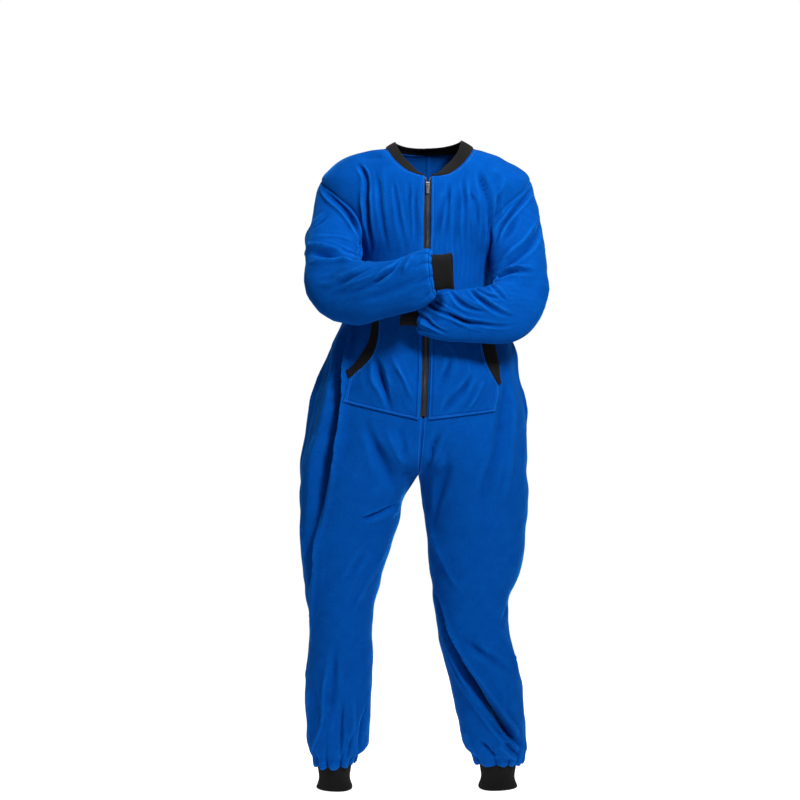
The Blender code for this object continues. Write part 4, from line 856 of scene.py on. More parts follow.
# %% [markdown]
# ## Grids of the panels
# A panel's rows run from its middle edge to its armhole or side seam; they are close together
# near the seams, so that the valleys of the seams have a shape.

# %%
ARM_EDGE_SHARES = (0.0, 0.006, 0.014, 0.026, 0.042)
ARM_ROWS = 50
NECK_FINE = {"front": 33, "back": 25}
EDGE_STEPS = np.array([0.0, 1.0, 2.2, 3.8, 5.8, 8.2, 11.0, 15.0]) * MM
# Columns of a panel's grid, and those along which the lengths of its rows are measured
PANEL_COLUMNS, MEASURED_COLUMNS = 78, 90
ROW_PITCH, LAST_PITCH, LAST_ROWS = 4.0 * MM, 1.5 * MM, 26
SEAM_DEPTH, SEAM_WIDTH = 1.5 * MM, 3.4 * MM
WELT_STITCH, WELT_RISE, NECK_STITCH, SEAM_STITCH = 6.0 * MM, 1.4 * MM, 6.0 * MM, 4.5 * MM
# Dips as depth and width: at the welt's edge, and under the stitches of the welt and the neck
WELT_EDGE, WELT_DIP, NECK_DIP = (1.6 * MM, 1.6 * MM), (1.1 * MM, 1.5 * MM), (1.0 * MM, 1.6 * MM)
# Swells of the welt as middle and width: within its stitches and beyond them
WELT_SWELL, WELT_BEYOND, BEYOND_RISE = (3.2 * MM, 2.4 * MM), (9.0 * MM, 2.6 * MM), 0.5 * MM
WELT_START = 8 * MM     # length over which the welt begins above the zip's end
# Where the trunk parts: rings over which it is eased, how often, and the run from the seam
CROTCH_REACH, CROTCH_PASSES, CROTCH_EDGE = 0.8, 60, 45.0 * MM
ANKLE_LOBES, WRIST_LOBES = 12, 11
# How far a leg puffs out above its cuff in millimetres: at the inner leg and at the outer leg
ANKLE_PUFF = {"right": (13.0, 2.0), "left": (5.0, 4.0)}
HEM_LIFT, HEM_REACH = 9.0 * MM, 40.0 * MM
# Bells above the cuff, as middle height and reach: the lobes, the puff and the sag over the cuff
LOBE_BELL, PUFF_BELL, SAG_BELL = (8.0 * MM, 11.0 * MM), (42.0 * MM, 28.0 * MM), (4.0 * MM, 8.0 * MM)
GATHER_REACH = 65.0 * MM
# Swell in millimetres: of the lobes low down, of the gathers above them and of their fine waves
LOBE_OUT, GATHER_OUT, FINE_OUT = 7.0, 9.0, 1.0
SAG_LEAST, SAG_OF_LOBE = 1.0, 10.0
# Heights above the cuff over which the swell and the sag begin, and the cloth lifts level
OUT_START, SAG_START, LEVEL_BELOW = 2.4 * MM, 3.2 * MM, 30 * MM
MEAN_LOBE = 0.62        # so that the gathers lift and sink the cloth alike

even = np.linspace(ARM_EDGE_SHARES[-1], 1 - ARM_EDGE_SHARES[-1], ARM_ROWS - 7)
ARM_SHARES = np.concatenate([ARM_EDGE_SHARES[:-1], even, 1 - np.array(ARM_EDGE_SHARES[-2::-1])])
ANKLE_Z = {side: LEG_RINGS[side][-1][0] for side in SIDES}
UNDERARM_Z = TRUNK_RINGS[UNDERARM_RING][0]


# %%
def low_heights(side):
    """Heights of a panel's rows below the underarm; they are closest above the ankle cuff."""
    last = ANKLE_Z[side] + LAST_PITCH * np.arange(LAST_ROWS, -1, -1)
    between = int((UNDERARM_Z - last[0]) / ROW_PITCH)
    return np.concatenate([np.linspace(UNDERARM_Z, last[0], between + 1)[1:-1], last])


def edge_places(length, count):
    """Places along runs of these lengths: close together near both ends, even between."""
    length = np.asarray(length, float)[..., None]
    start = EDGE_STEPS + 0 * length
    middle = np.linspace(0, 1, count + 3 - 2 * len(EDGE_STEPS))[1:-1]
    middle = EDGE_STEPS[-1] + (length - 2 * EDGE_STEPS[-1]) * middle
    return np.concatenate([start, middle, length - EDGE_STEPS[::-1]], axis=-1)


def panel_places(side, face):
    """Rings and angles of a panel's grid, and each point's run from the inner edge."""
    count = NECK_FINE[face]
    neck_ring, neck_angle = neck_place(side, face, ARM_SHARES[: count + 1] / ARM_SHARES[count])
    share = (ARM_SHARES[count + 1 :] - ARM_SHARES[count]) / (1 - ARM_SHARES[count])
    centre_ring = neck_ring[-1] + (UNDERARM_RING - neck_ring[-1]) * share
    low_ring = ring_at(side, low_heights(side))
    lower = np.concatenate([centre_ring, low_ring])
    inner_ring = np.concatenate([neck_ring, lower])
    inner_angle = np.concatenate([neck_angle, centre_angle(side, face, lower)])
    arm_ring, arm_angle = armhole_place(face, ARM_SHARES)
    outer_ring = np.concatenate([arm_ring, low_ring])
    outer_angle = np.concatenate([arm_angle, side_seam_angle(side, low_ring)])
    inner = inner_ring[:, None], inner_angle[:, None]
    outer = outer_ring[:, None], outer_angle[:, None]
    share = np.linspace(0, 1, MEASURED_COLUMNS)
    ring, angle = (blend(first, last, share) for first, last in zip(inner, outer))
    run = run_lengths(body_point(side, ring, angle), 1)
    places = edge_places(run[:, -1], PANEL_COLUMNS)
    share = np.array([np.interp(place, row, share) for place, row in zip(places, run)])
    ring, angle = (blend(first, last, share) for first, last in zip(inner, outer))
    return ring, angle, places, places[:, -1:] - places


def grid_normals(points, sign, wrap=False):
    """Outward normals of a grid of points, from its rows and columns."""
    if wrap:
        wide = np.concatenate([points[:, -1:], points, points[:, :1]], axis=1)
        across = wide[:, 2:] - wide[:, :-2]
    else:
        across = np.gradient(points, axis=1)
    down = np.gradient(points, axis=0)
    return sign * unit(np.cross(down, across))


# %%
BODY_SAMPLES = []
for wearer_side in SIDES:
    for panel_face in ("front", "back"):
        ring, angle = panel_places(wearer_side, panel_face)[:2]
        ring, angle = ring[::2, ::3], angle[::2, ::3]
        base = body_point(wearer_side, ring, angle)
        normal = body_normal(wearer_side, ring, angle)
        BODY_SAMPLES.append((base.reshape(-1, 3), normal.reshape(-1, 3)))
BODY_SAMPLES = [np.concatenate(values) for values in zip(*BODY_SAMPLES)]
BODY_LAID = lay_folds("body", BODY_SAMPLES)
print(f"folds laid on the body: {len(BODY_LAID)}")


# %%
def ankle_gathers(side, points, angle):
    """Where a leg meets its cuff the cloth stands in lobes that hang over the cuff a little.
    Each lobe is a rounded wave with a narrow valley; it swells out, sags and turns back in."""
    height = points[..., 2] - ANKLE_Z[side]
    turn = np.radians(angle)
    phase = 0.5 * ANKLE_LOBES * turn + 0.7 * np.sin(2 * turn + SIDES[side]) + 0.5 * np.sin(3 * turn)
    lobe = np.abs(np.cos(phase)) ** 0.7
    fine = np.cos(2.7 * phase + 1.0)
    size = 0.75 + 0.25 * np.sin(1.7 * turn + 2 * SIDES[side])
    low, puffed, sagging = (bell(height - middle, reach) for middle, reach in
                            (LOBE_BELL, PUFF_BELL, SAG_BELL))
    high = bell(height, GATHER_REACH)
    inward = np.cos(turn)
    puff = np.where(inward > 0, ANKLE_PUFF[side][0], ANKLE_PUFF[side][1]) * np.abs(inward)
    puff = puff * puffed
    swell = lobe * LOBE_OUT * low + (lobe - MEAN_LOBE) * GATHER_OUT * high + fine * FINE_OUT * high
    out = size * swell * MM + puff * MM
    out = out * np.clip(height / OUT_START, 0.0, 1.0)
    sag = size * (SAG_LEAST + SAG_OF_LOBE * lobe) * MM * sagging
    sag = sag * np.clip(height / SAG_START, 0.0, 1.0) - HEM_LIFT * bell(height, HEM_REACH)
    return out, sag


def eased(values, ring, from_inner):
    """A grid's values averaged down its columns where the trunk parts into the legs."""
    near = bell(ring - CROTCH_RING, CROTCH_REACH) * smooth(from_inner / CROTCH_EDGE)
    for _ in range(CROTCH_PASSES):
        values[1:-1] += near[1:-1, :, None] * (averaged(values) - values[1:-1])
    return values


def dressed_body(side, ring, angle, extra=0.0, from_inner=None):
    """The body's surface with folds, waves and ankle gathers, lifted by extra along its normals."""
    ring, angle = np.broadcast_arrays(np.asarray(ring, float), np.asarray(angle, float))
    base, normal = body_point(side, ring, angle), body_normal(side, ring, angle)
    if from_inner is not None:
        base = eased(base, ring, from_inner)
        normal = unit(eased(normal, ring, from_inner))
    height = fold_heights(BODY_LAID, base, normal) + wave_heights(base)
    height = height + streak_heights("body", base) + extra
    out, sag = ankle_gathers(side, base, angle)
    flat = unit(normal * [1.0, 1.0, 0.0])
    near = smooth(1 - (base[..., 2] - ANKLE_Z[side]) / LEVEL_BELOW)[..., None]
    direction = unit(blend(normal, flat, near))
    points = base + height[..., None] * direction + out[..., None] * flat
    points[..., 2] -= sag
    return points, direction


# %% [markdown]
# ## Mesh builders

# %%
def link_object(name, data):
    """An object of this name and data in the scene."""
    item = bpy.data.objects.new(name, data)
    bpy.context.scene.collection.objects.link(item)
    return item


def make_piece(name, points, quads, material, angle=60.0, nap_relief_and_painted_light=None):
    """A piece from points and quads: faces turned out, shaded smooth, riding on the garment."""
    points, quads = points.reshape(-1, 3), quads.reshape(-1, 4)
    a, b, c, d = (points[quads[:, i]] for i in range(4))
    volume = np.sum(a * np.cross(b, c)) + np.sum(a * np.cross(c, d))
    if volume < 0:
        quads = quads[:, ::-1]
    mesh = bpy.data.meshes.new(name)
    mesh.vertices.add(len(points))
    mesh.vertices.foreach_set("co", points.astype(np.float32).ravel())
    mesh.loops.add(quads.size)
    mesh.loops.foreach_set("vertex_index", quads.astype(np.int32).ravel())
    mesh.polygons.add(len(quads))
    mesh.polygons.foreach_set("loop_start", np.arange(0, quads.size, 4, dtype=np.int32))
    mesh.update(calc_edges=True)
    mesh.shade_smooth()
    mesh.set_sharp_from_angle(angle=math.radians(angle))
    # Painted light kept on each point: lighter on crests (painted highlight), darker in valleys
    # (painted shade)
    if nap_relief_and_painted_light is not None:
        painted_crest_light = mesh.attributes.new("painted_crest_light", "FLOAT", "POINT").data
        painted_crest_light.foreach_set("value", nap_relief_and_painted_light.astype(np.float32).ravel())
    mesh.materials.append(material)
    piece = link_object(name, mesh)
    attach(piece, GARMENT)
    print(f"{name}: {2 * len(quads)} triangles")
    return piece


# %%
def strip(a, b, c, d):
    """Quads from four arrays of corner numbers."""
    return np.stack([a, b, c, d], axis=-1).reshape(-1, 4)


# Bend, per metre, at which the painted highlight on crests and the painted shade in valleys are
# full, and how often the bends are averaged
CREST_LIGHT_BEND, CREST_LIGHT_PASSES = 240.0, 1


def crest_highlight_and_valley_shade(points, normals, closed):
    """Painted light at each point of a grid: 0.5 where the cloth is flat, towards 1, a painted
    highlight, on its crests and towards 0, painted shade, in its valleys, from how sharply it bends
    (per metre)."""
    bend = np.zeros(points.shape[:2])
    for axis in (0, 1):
        if closed and axis == 1:
            ahead = np.roll(points, -1, axis) - points
            behind = points - np.roll(points, 1, axis)
        else:
            step = np.diff(points, axis=axis)
            first, last = np.take(step, [0], axis), np.take(step, [-1], axis)
            ahead = np.concatenate([step, last], axis)
            behind = np.concatenate([first, step], axis)
        length = 0.5 * (np.linalg.norm(ahead, axis=-1) + np.linalg.norm(behind, axis=-1))
        bend -= np.sum((unit(ahead) - unit(behind)) * normals, axis=-1) / (length + 0.2 * MM)
    for _ in range(CREST_LIGHT_PASSES):
        bend = averaged(np.pad(bend, ((1, 1), (0, 0)), "edge"))
        bend = averaged(np.pad(bend, ((0, 0), (1, 1)), "wrap" if closed else "edge").T).T
    return 0.5 + 0.5 * np.tanh(bend / CREST_LIGHT_BEND)


# %%
def wall_piece(name, outer, normals, thickness, material, closed=False):
    """A thin closed wall: a grid of outer points and the same grid moved in."""
    # Painted highlight on the crests and painted shade in the valleys, the same on both faces
    nap_relief_and_painted_light = np.tile(crest_highlight_and_valley_shade(outer, normals, closed).ravel(), 2)
    rows, columns = outer.shape[:2]
    points = np.concatenate([outer.reshape(-1, 3), (outer - thickness * normals).reshape(-1, 3)])
    index = np.arange(2 * rows * columns).reshape(2, rows, columns)
    if closed:
        index = np.concatenate([index, index[:, :, :1]], axis=2)
    out, inn = index
    quads = [
        strip(out[:-1, :-1], out[:-1, 1:], out[1:, 1:], out[1:, :-1]),
        strip(inn[:-1, :-1], inn[1:, :-1], inn[1:, 1:], inn[:-1, 1:]),
        strip(inn[0, :-1], inn[0, 1:], out[0, 1:], out[0, :-1]),
        strip(out[-1, :-1], out[-1, 1:], inn[-1, 1:], inn[-1, :-1]),
    ]
    if not closed:
        quads.append(strip(out[:-1, 0], out[1:, 0], inn[1:, 0], inn[:-1, 0]))
        quads.append(strip(inn[:-1, -1], inn[1:, -1], out[1:, -1], out[:-1, -1]))
    return make_piece(name, points, np.concatenate(quads), material, nap_relief_and_painted_light=nap_relief_and_painted_light)


def ring_piece(name, grid, material, closed):
    """A band from a grid whose rows close into its cross-section; closed joins its two ends."""
    rows, columns = grid.shape[:2]
    index = np.arange(rows * columns).reshape(rows, columns)
    index = np.concatenate([index, index[:1]])
    if closed:
        index = np.concatenate([index, index[:, :1]], axis=1)
    quads = [strip(index[:-1, :-1], index[:-1, 1:], index[1:, 1:], index[1:, :-1])]
    if not closed:
        half = rows // 2
        for column, order in ((0, 1), (-1, -1)):
            edge = index[:-1, column]
            near, far = edge[: half], edge[: half - 1 : -1][: half]
            quads.append(strip(near[:-1], near[1:], far[1:], far[:-1])[:, ::order])
    return make_piece(name, grid, np.concatenate(quads), material)


# %% [markdown]
# ## Materials
# Every pattern is in object coordinates, in metres, so it keeps its scale on every piece.

# %%
def add_node(material, kind, **values):
    """A node of a material, with its inputs and settings by name."""
    node = material.node_tree.nodes.new(kind)
    for name, value in values.items():
        if name in node.inputs:
            node.inputs[name].default_value = value
        else:
            setattr(node, name, value)
    return node


def join(material, source, target):
    """Links a node's output to another's input."""
    material.node_tree.links.new(source, target)


def new_material(name, **sockets):
    """A material with these shader inputs; returns it, its shader and the object coordinates."""
    material = bpy.data.materials.new(name)
    material.use_nodes = True
    shader = material.node_tree.nodes["Principled BSDF"]
    for socket, value in sockets.items():
        shader.inputs[socket.replace("_", " ")].default_value = value
    where = add_node(material, "ShaderNodeTexCoord")
    return material, shader, where.outputs["Object"]


def ramp(material, source, stops):
    """A colour ramp: stops are (place, colour)."""
    node = add_node(material, "ShaderNodeValToRGB")
    while len(node.color_ramp.elements) < len(stops):
        node.color_ramp.elements.new(0.5)
    for element, (place, colour) in zip(node.color_ramp.elements, stops):
        element.position, element.color = place, (*colour, 1.0)
    join(material, source, node.inputs["Fac"])
    return node.outputs["Color"]


def noise(material, where, scale, detail=3.0, roughness=0.55, distortion=0.0):
    """Noise with about this many spots per metre."""
    node = add_node(material, "ShaderNodeTexNoise", Scale=scale, Detail=detail,
                    Roughness=roughness, Distortion=distortion)
    join(material, where, node.inputs["Vector"])
    return node.outputs["Fac"]


def blend_values(material, first, second, share):
    """Two patterns mixed: first (1 - share) + second share."""
    node = add_node(material, "ShaderNodeMix", data_type="FLOAT")
    node.inputs["Factor"].default_value = share
    join(material, first, node.inputs["A"])
    join(material, second, node.inputs["B"])
    return node.outputs["Result"]


def bump(material, shader, height, distance, strength=1.0):
    """Relief of a height pattern, this many metres deep."""
    node = add_node(material, "ShaderNodeBump", Distance=distance, Strength=strength)
    join(material, height, node.inputs["Height"])
    join(material, node.outputs["Normal"], shader.inputs["Normal"])


# %%
def fleece_material():
    """Royal blue polar fleece: short brushed nap in small tufts, with painted highlights on the
    crests of its folds and painted shade in their valleys.
    """
    material, shader, where = new_material(
        "royal blue fleece", Roughness=0.95, Specular_IOR_Level=0.02, Sheen_Weight=0.75,
        Sheen_Roughness=0.32, Sheen_Tint=(0.018, 0.28, 0.84, 1.0),
    )
    tufts = noise(material, where, 420.0, 4.0, 0.62)
    patches = noise(material, where, 34.0, 3.0, 0.55, 0.6)
    # Painted light: the crests of the folds lighter and their valleys darker, mixed into the colour
    painted_crest_light = add_node(material, "ShaderNodeAttribute", attribute_name="painted_crest_light").outputs["Fac"]
    mixed = blend_values(material, blend_values(material, tufts, patches, 0.30), painted_crest_light, 0.42)
    colour = ramp(material, mixed, [
        (0.28, (0.0001, 0.030, 0.190)), (0.42, (0.0002, 0.050, 0.277)),
        (0.50, (0.0004, 0.060, 0.316)), (0.58, (0.0007, 0.071, 0.356)),
        (0.72, (0.0025, 0.108, 0.475)),
    ])
    join(material, colour, shader.inputs["Base Color"])
    nap_relief_and_painted_light = blend_values(material, tufts, noise(material, where, 150.0, 2.0, 0.5), 0.45)
    bump(material, shader, nap_relief_and_painted_light, 1.1 * MM, 1.0)
    return material


def spotted_material(name, spots, stops, relief=None, **sockets):
    """A material whose colour follows fine noise. spots are the noise's numbers, stops the
    places and colours of its ramp, and relief the depth and strength of the same noise."""
    material, shader, where = new_material(name, **sockets)
    pattern = noise(material, where, *spots)
    join(material, ramp(material, pattern, stops), shader.inputs["Base Color"])
    if relief:
        bump(material, shader, pattern, *relief)
    return material


def tape_material():
    """Black woven tape: a fine twill."""
    material, shader, where = new_material("black zip tape", Roughness=0.78, Specular_IOR_Level=0.3)
    weave = add_node(material, "ShaderNodeTexWave", wave_type="BANDS", bands_direction="DIAGONAL",
                     Scale=520.0, Distortion=0.6, Detail=2.0)
    join(material, where, weave.inputs["Vector"])
    colour = ramp(material, weave.outputs["Fac"],
                  [(0.2, (0.005, 0.005, 0.006)), (0.8, (0.018, 0.018, 0.020))])
    join(material, colour, shader.inputs["Base Color"])
    bump(material, shader, weave.outputs["Fac"], 0.12 * MM, 0.7)
    return material


# %%
FLEECE_CLOTH = fleece_material()
# The ribs are in the mesh; the yarn's twist and lint are in the material
RIB_CLOTH = spotted_material(
    "black rib knit", (900.0, 3.0, 0.6),
    [(0.30, (0.0030, 0.0028, 0.0030)), (0.60, (0.0075, 0.0070, 0.0075)),
     (0.85, (0.020, 0.019, 0.020))],
    (0.35 * MM, 0.8), Roughness=0.9, Specular_IOR_Level=0.12, Sheen_Weight=0.10,
    Sheen_Roughness=0.5, Sheen_Tint=(0.6, 0.6, 0.65, 1.0),
)
TAPE_CLOTH = tape_material()
# Dark zip coil with a worn gleam, polished nickel with fine scratches, thread with a slight gloss
TEETH = spotted_material(
    "gunmetal zip teeth", (700.0, 2.0), [(0.3, (0.05, 0.05, 0.053)), (0.75, (0.22, 0.22, 0.23))],
    Metallic=0.85, Roughness=0.36,
)
NICKEL = spotted_material(
    "nickel", (1500.0, 4.0, 0.7), [(0.3, (0.30, 0.30, 0.31)), (0.7, (0.52, 0.52, 0.54))],
    (0.03 * MM, 0.4), Metallic=1.0, Roughness=0.18,
)
# The thread is lighter than the fleece partly as a painted highlight along the stitched edges
THREAD = spotted_material(
    "blue sewing thread", (2600.0, 2.0), [(0.3, (0.002, 0.100, 0.52)), (0.7, (0.006, 0.150, 0.66))],
    Roughness=0.55, Specular_IOR_Level=0.4,
)
print(f"materials: {sorted(material.name for material in bpy.data.materials)}")

# %% [markdown]
# ## Fronts and backs

# %%
# Area in square metres of each piece's outer face; each is cut from one piece of cloth
SHEET_AREAS = {}
# Piece, points and normals of each row of stitches, filled as the pieces are made
STITCH_LINES = []


def cloth_area(points, wrap=False):
    """Area of a grid's outer face."""
    if wrap:
        points = np.concatenate([points, points[:, :1]], axis=1)
    a, b = points[1:, 1:] - points[:-1, :-1], points[1:, :-1] - points[:-1, 1:]
    return float(0.5 * np.linalg.norm(np.cross(a, b), axis=-1).sum())


def at_columns(grid, at):
    """One point of each row of a grid, at fractional column numbers."""
    row, low = np.arange(len(grid)), np.floor(at).astype(int)
    return blend(grid[row, low], grid[row, low + 1], (at - low)[:, None])


def stitch_along(piece, points, normals, distances, offset):
    """Notes a row of stitches: in each row of a grid, where its distances have this offset."""
    columns = np.arange(distances.shape[1])
    if distances[0, 0] > distances[0, -1]:
        distances, columns = distances[:, ::-1], columns[::-1]
    at = np.array([np.interp(offset, row, columns) for row in distances])
    STITCH_LINES.append((piece, at_columns(points, at), at_columns(normals, at)))


def zip_welt(distance):
    """The turned edge beside the zip: it rolls in at the edge, swells, and dips at its stitches."""
    edge = groove(distance, *WELT_EDGE)
    swell = WELT_RISE * bell(distance - WELT_SWELL[0], WELT_SWELL[1])
    stitch = groove(distance - WELT_STITCH, *WELT_DIP)
    beyond = BEYOND_RISE * bell(distance - WELT_BEYOND[0], WELT_BEYOND[1])
    return edge + swell + stitch + beyond


# %%
def build_panel(side, face):
    """One front or back from shoulder to ankle, with seam valleys and, in front, the zip's welt."""
    ring, angle, from_inner, from_outer = panel_places(side, face)
    from_top = run_lengths(body_point(side, ring, angle), 0)
    rows = np.arange(len(ring))[:, None]
    z = column(side, "z", ring[:, :1])
    valley = groove(from_outer, SEAM_DEPTH, SEAM_WIDTH) + groove(from_top, SEAM_DEPTH, SEAM_WIDTH)
    inner = groove(from_inner, SEAM_DEPTH, SEAM_WIDTH)
    if face == "front":
        beside_zip = (rows > NECK_FINE[face]) * smooth((z - ZIP_BOTTOM_Z) / WELT_START)
        inner = blend(inner, zip_welt(from_inner), beside_zip)
    beside_neck = rows < NECK_FINE[face]
    inner = inner + beside_neck * groove(from_inner - NECK_STITCH, *NECK_DIP)
    points, plain = dressed_body(side, ring, angle, valley + inner, from_inner)
    normals = grid_normals(points, SIDES[side] * (1 if face == "front" else -1))
    for edge in (np.s_[0], np.s_[:, 0], np.s_[:, -1]):
        normals[edge] = plain[edge]
    points[:, -1] = inset(points[:, -1], points[:, -2])
    points[:, 0] = inset(points[:, 0], points[:, 1])
    points[0] = inset(points[0], points[1])
    stitched = [(NECK_STITCH, rows[:, 0] < NECK_FINE[face])]
    if face == "front":
        height = z[:, 0]
        stitched.append((WELT_STITCH, (rows[:, 0] > NECK_FINE[face]) & (height > ZIP_BOTTOM_Z)))
        stitched.append((SEAM_STITCH, (height < ZIP_BOTTOM_Z) & (ring[:, 0] < CROTCH_RING)))
    for distance, chosen in stitched:
        stitch_along(f"{face}_{side}", points[chosen], normals[chosen], from_inner[chosen],
                     distance)
    name = f"fleece_{face}_{side}"
    piece = wall_piece(name, points, normals, FLEECE, FLEECE_CLOTH)
    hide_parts(f"{face}_{side}")
    SHEET_AREAS[name] = cloth_area(points)
    return piece


def inset(points, neighbours):
    """Moves an edge half a seam gap towards its neighbours, square to the edge."""
    tangent = unit(np.gradient(points, axis=0))
    step = neighbours - points
    step = step - np.sum(step * tangent, axis=-1, keepdims=True) * tangent
    return points + HALF_GAP * unit(step)


for wearer_side in SIDES:
    for panel_face in ("front", "back"):
        build_panel(wearer_side, panel_face)

# %% [markdown]
# ## Sleeves

# %%
SLEEVE_NET_ROWS, SLEEVE_NET_CELLS = 18, 24
SLEEVE_FINE_ROWS = 190
# Shares of the armhole at the sleeve's columns: the panels' own, with one more between each two
SLEEVE_SHARES = np.interp(
    np.arange(0, len(ARM_SHARES) - 0.9, 0.5), np.arange(len(ARM_SHARES)), ARM_SHARES
)
HEM_FROM_CUFF, HEM_DIP = 9.0 * MM, (1.2 * MM, 1.8 * MM)
# Lobes above the wrist cuff: middle and reach of those beside it, reach of the others, and the
# run over which they begin
WRIST_BELL, WRIST_REACH, WRIST_START = (10 * MM, 12 * MM), 48 * MM, 2.5 * MM
# Runs from the armhole over which the sleeve's base meets it, the folds grow, and the dressed
# cloth meets the dressed armhole
BASE_JOINT, FOLDS_GROW, CLOTH_JOINT = 45 * MM, 25 * MM, 22 * MM


def upsample(net, at_rows, at_columns):
    """A net that wraps round in columns, read at row and column numbers on smooth curves."""
    fine = spline(net, at_rows)
    wrapped = np.concatenate([fine[:, -3:], fine, fine[:, :4]], axis=1)
    return np.swapaxes(spline(np.swapaxes(wrapped, 0, 1), np.asarray(at_columns) + 3.0), 0, 1)


def sleeve_base(side):
    """The sleeve without folds: rings of the arm that start in the armhole's form."""
    at = np.linspace(0, len(SLEEVE_RINGS[side]) - 1, SLEEVE_NET_ROWS + 1)
    angle = np.arange(SLEEVE_NET_CELLS) * 360.0 / SLEEVE_NET_CELLS
    plain = plain_sleeve_point(side, at, angle)
    hole = armhole_line(side, np.linspace(0, 1, SLEEVE_NET_CELLS // 2 + 1))
    fade = smooth(1 - at / ARMHOLE_FADE)[:, None, None]
    net = plain + fade * (hole - plain[0])
    clearance = np.clip(at, 0.0, 1.0)[:, None] * BESIDE_BODY
    for _ in range(EASING_PASSES):
        net = beside_body(side, net, clearance)
        net[FIRST_EASED:LAST_EASED] = averaged(net)[FIRST_EASED - 1 : LAST_EASED - 1]
    net = beside_body(side, net, clearance)
    half = SLEEVE_NET_CELLS // 2
    down_front = half * SLEEVE_SHARES
    columns = np.concatenate([down_front, SLEEVE_NET_CELLS - down_front[::-1][1:-1]])
    rows = np.linspace(0, 1, SLEEVE_FINE_ROWS + 1)
    rows = SLEEVE_NET_ROWS * (rows - 0.05 * np.sin(2 * math.pi * rows))
    fine = upsample(net, rows, columns)
    hole = armhole_line(side, SLEEVE_SHARES)
    joint = smooth(1 - run_lengths(fine, 0) / BASE_JOINT)[..., None]
    return fine + joint * (hole - fine[:1]), angle_of(columns)


def angle_of(columns):
    """Degrees round the sleeve at column numbers of its net."""
    return np.asarray(columns) * 360.0 / SLEEVE_NET_CELLS


def armhole_line(side, share):
    """The armhole's points all round, from the shoulder tip down the front, up the back."""
    front = body_point(side, *armhole_place("front", share))
    back = body_point(side, *armhole_place("back", share[::-1][1:-1]))
    return np.concatenate([front, back])


def dressed_armhole(side):
    """The armhole's points and normals as the panels' edges have them, folds and all."""
    edges = []
    for face in ("front", "back"):
        ring, angle = armhole_place(face, SLEEVE_SHARES)
        from_top = run_lengths(body_point(side, ring, angle), 0)
        valley = groove(from_top, SEAM_DEPTH, SEAM_WIDTH) - SEAM_DEPTH
        edges.append(dressed_body(side, ring, angle, valley))
    return (np.concatenate([front, back[::-1][1:-1]]) for front, back in zip(*edges))


def wrist_gathers(angle, from_end):
    """Lobes of cloth that puff out just before the wrist cuff."""
    turn = np.radians(angle)[None, :]
    phase = 0.5 * WRIST_LOBES * turn + 0.6 * np.sin(2 * turn) + 0.4 * np.sin(3 * turn + 1)
    lobe = np.abs(np.cos(phase)) ** 0.8
    near, far = bell(from_end - WRIST_BELL[0], WRIST_BELL[1]), bell(from_end, WRIST_REACH)
    swell = (2.0 + 2.2 * lobe) * near + 3.2 * (lobe - MEAN_LOBE) * far
    return swell * MM * np.clip(from_end / WRIST_START, 0.0, 1.0)


# %%
def build_sleeve(side):
    """A sleeve from the armhole round the bent elbow to the wrist, with its folds."""
    base, angle = sleeve_base(side)
    normals = grid_normals(base, -SIDES[side], wrap=True)
    if np.sum(normals[60] * (base[60] - base[60].mean(axis=0))) < 0:
        normals = -normals
    laid = lay_folds(f"sleeve_{side}", (base.reshape(-1, 3), normals.reshape(-1, 3)))
    print(f"folds laid on the {side} sleeve: {len(laid)}")
    from_start = run_lengths(base, 0)
    from_end = from_start[-1:] - from_start
    height = fold_heights(laid, base, normals) + wave_heights(base) + streak_heights("sleeve", base)
    height = height * smooth(from_start / FOLDS_GROW) + groove(from_start, SEAM_DEPTH, SEAM_WIDTH)
    height = height + groove(from_end - HEM_FROM_CUFF, *HEM_DIP)
    height = height + wrist_gathers(angle, from_end)
    points = base + height[..., None] * normals
    joint = smooth(1 - from_start / CLOTH_JOINT)[..., None]
    hole, edge = dressed_armhole(side)
    points = points + joint * (hole - points[0])
    final = grid_normals(points, -SIDES[side], wrap=True)
    if np.sum(final * normals) < 0:
        final = -final
    final[0] = edge
    name = f"fleece_sleeve_{side}"
    piece = wall_piece(name, points, final, FLEECE, FLEECE_CLOTH, closed=True)
    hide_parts(f"sleeve_{side}")
    SHEET_AREAS[name] = cloth_area(points, wrap=True)
    return piece


for wearer_side in SIDES:
    build_sleeve(wearer_side)

# %% [markdown]
# ## Rib cuffs and neckband
# The ribs are real ridges: a wave round the band with a fixed pitch. A band's cross-section is
# a folded strip with a rounded fold at its free edge.

# %%
RIB_PITCH, RIB_DEPTH, RIB_POINTS = 2.7 * MM, 0.55 * MM, 6
# Deeper than this a section is on the band's inside face
INSIDE_FACE = 1.6 * MM
# Length of a cuff, and its size from the seam to the free edge as shares of the seam's
CUFF_SIZES = {
    "wrist": (0.040, (1.0, 0.97, 0.98, 1.03)),
    "ankle": (0.060, (1.0, 0.93, 0.91, 1.05)),
}
BAND_HEIGHT, BAND_SIDE_REACH = {"right": 0.025, "left": 0.032}, 0.06
BAND_END_HEIGHT, BAND_TAPER = 0.005, 0.046
BAND_LEAN, BAND_WALL, BAND_CROWN = 60.0, 2.6 * MM, 0.8 * MM


def band_section(length, wall):
    """Cross-section of a folded rib strip: (along, in) pairs from the seam, round the free
    edge, and back; the last column is how much of the ribs shows there."""
    radius = wall / 2
    along = np.linspace(0, length - radius, 9)[1:]
    out = [(0.0, 0.55 * MM, 0.4)] + [(a, 0.0, 1.0) for a in along]
    fold = [(length - radius + radius * math.cos(t), radius - radius * math.sin(t), 0.6)
            for t in np.radians(np.linspace(60, -60, 5))]
    back = [(a, wall, 0.8) for a in along[-2::-2]] + [(0.0, wall - 0.1 * MM, 0.3)]
    return np.array(out + fold + back)


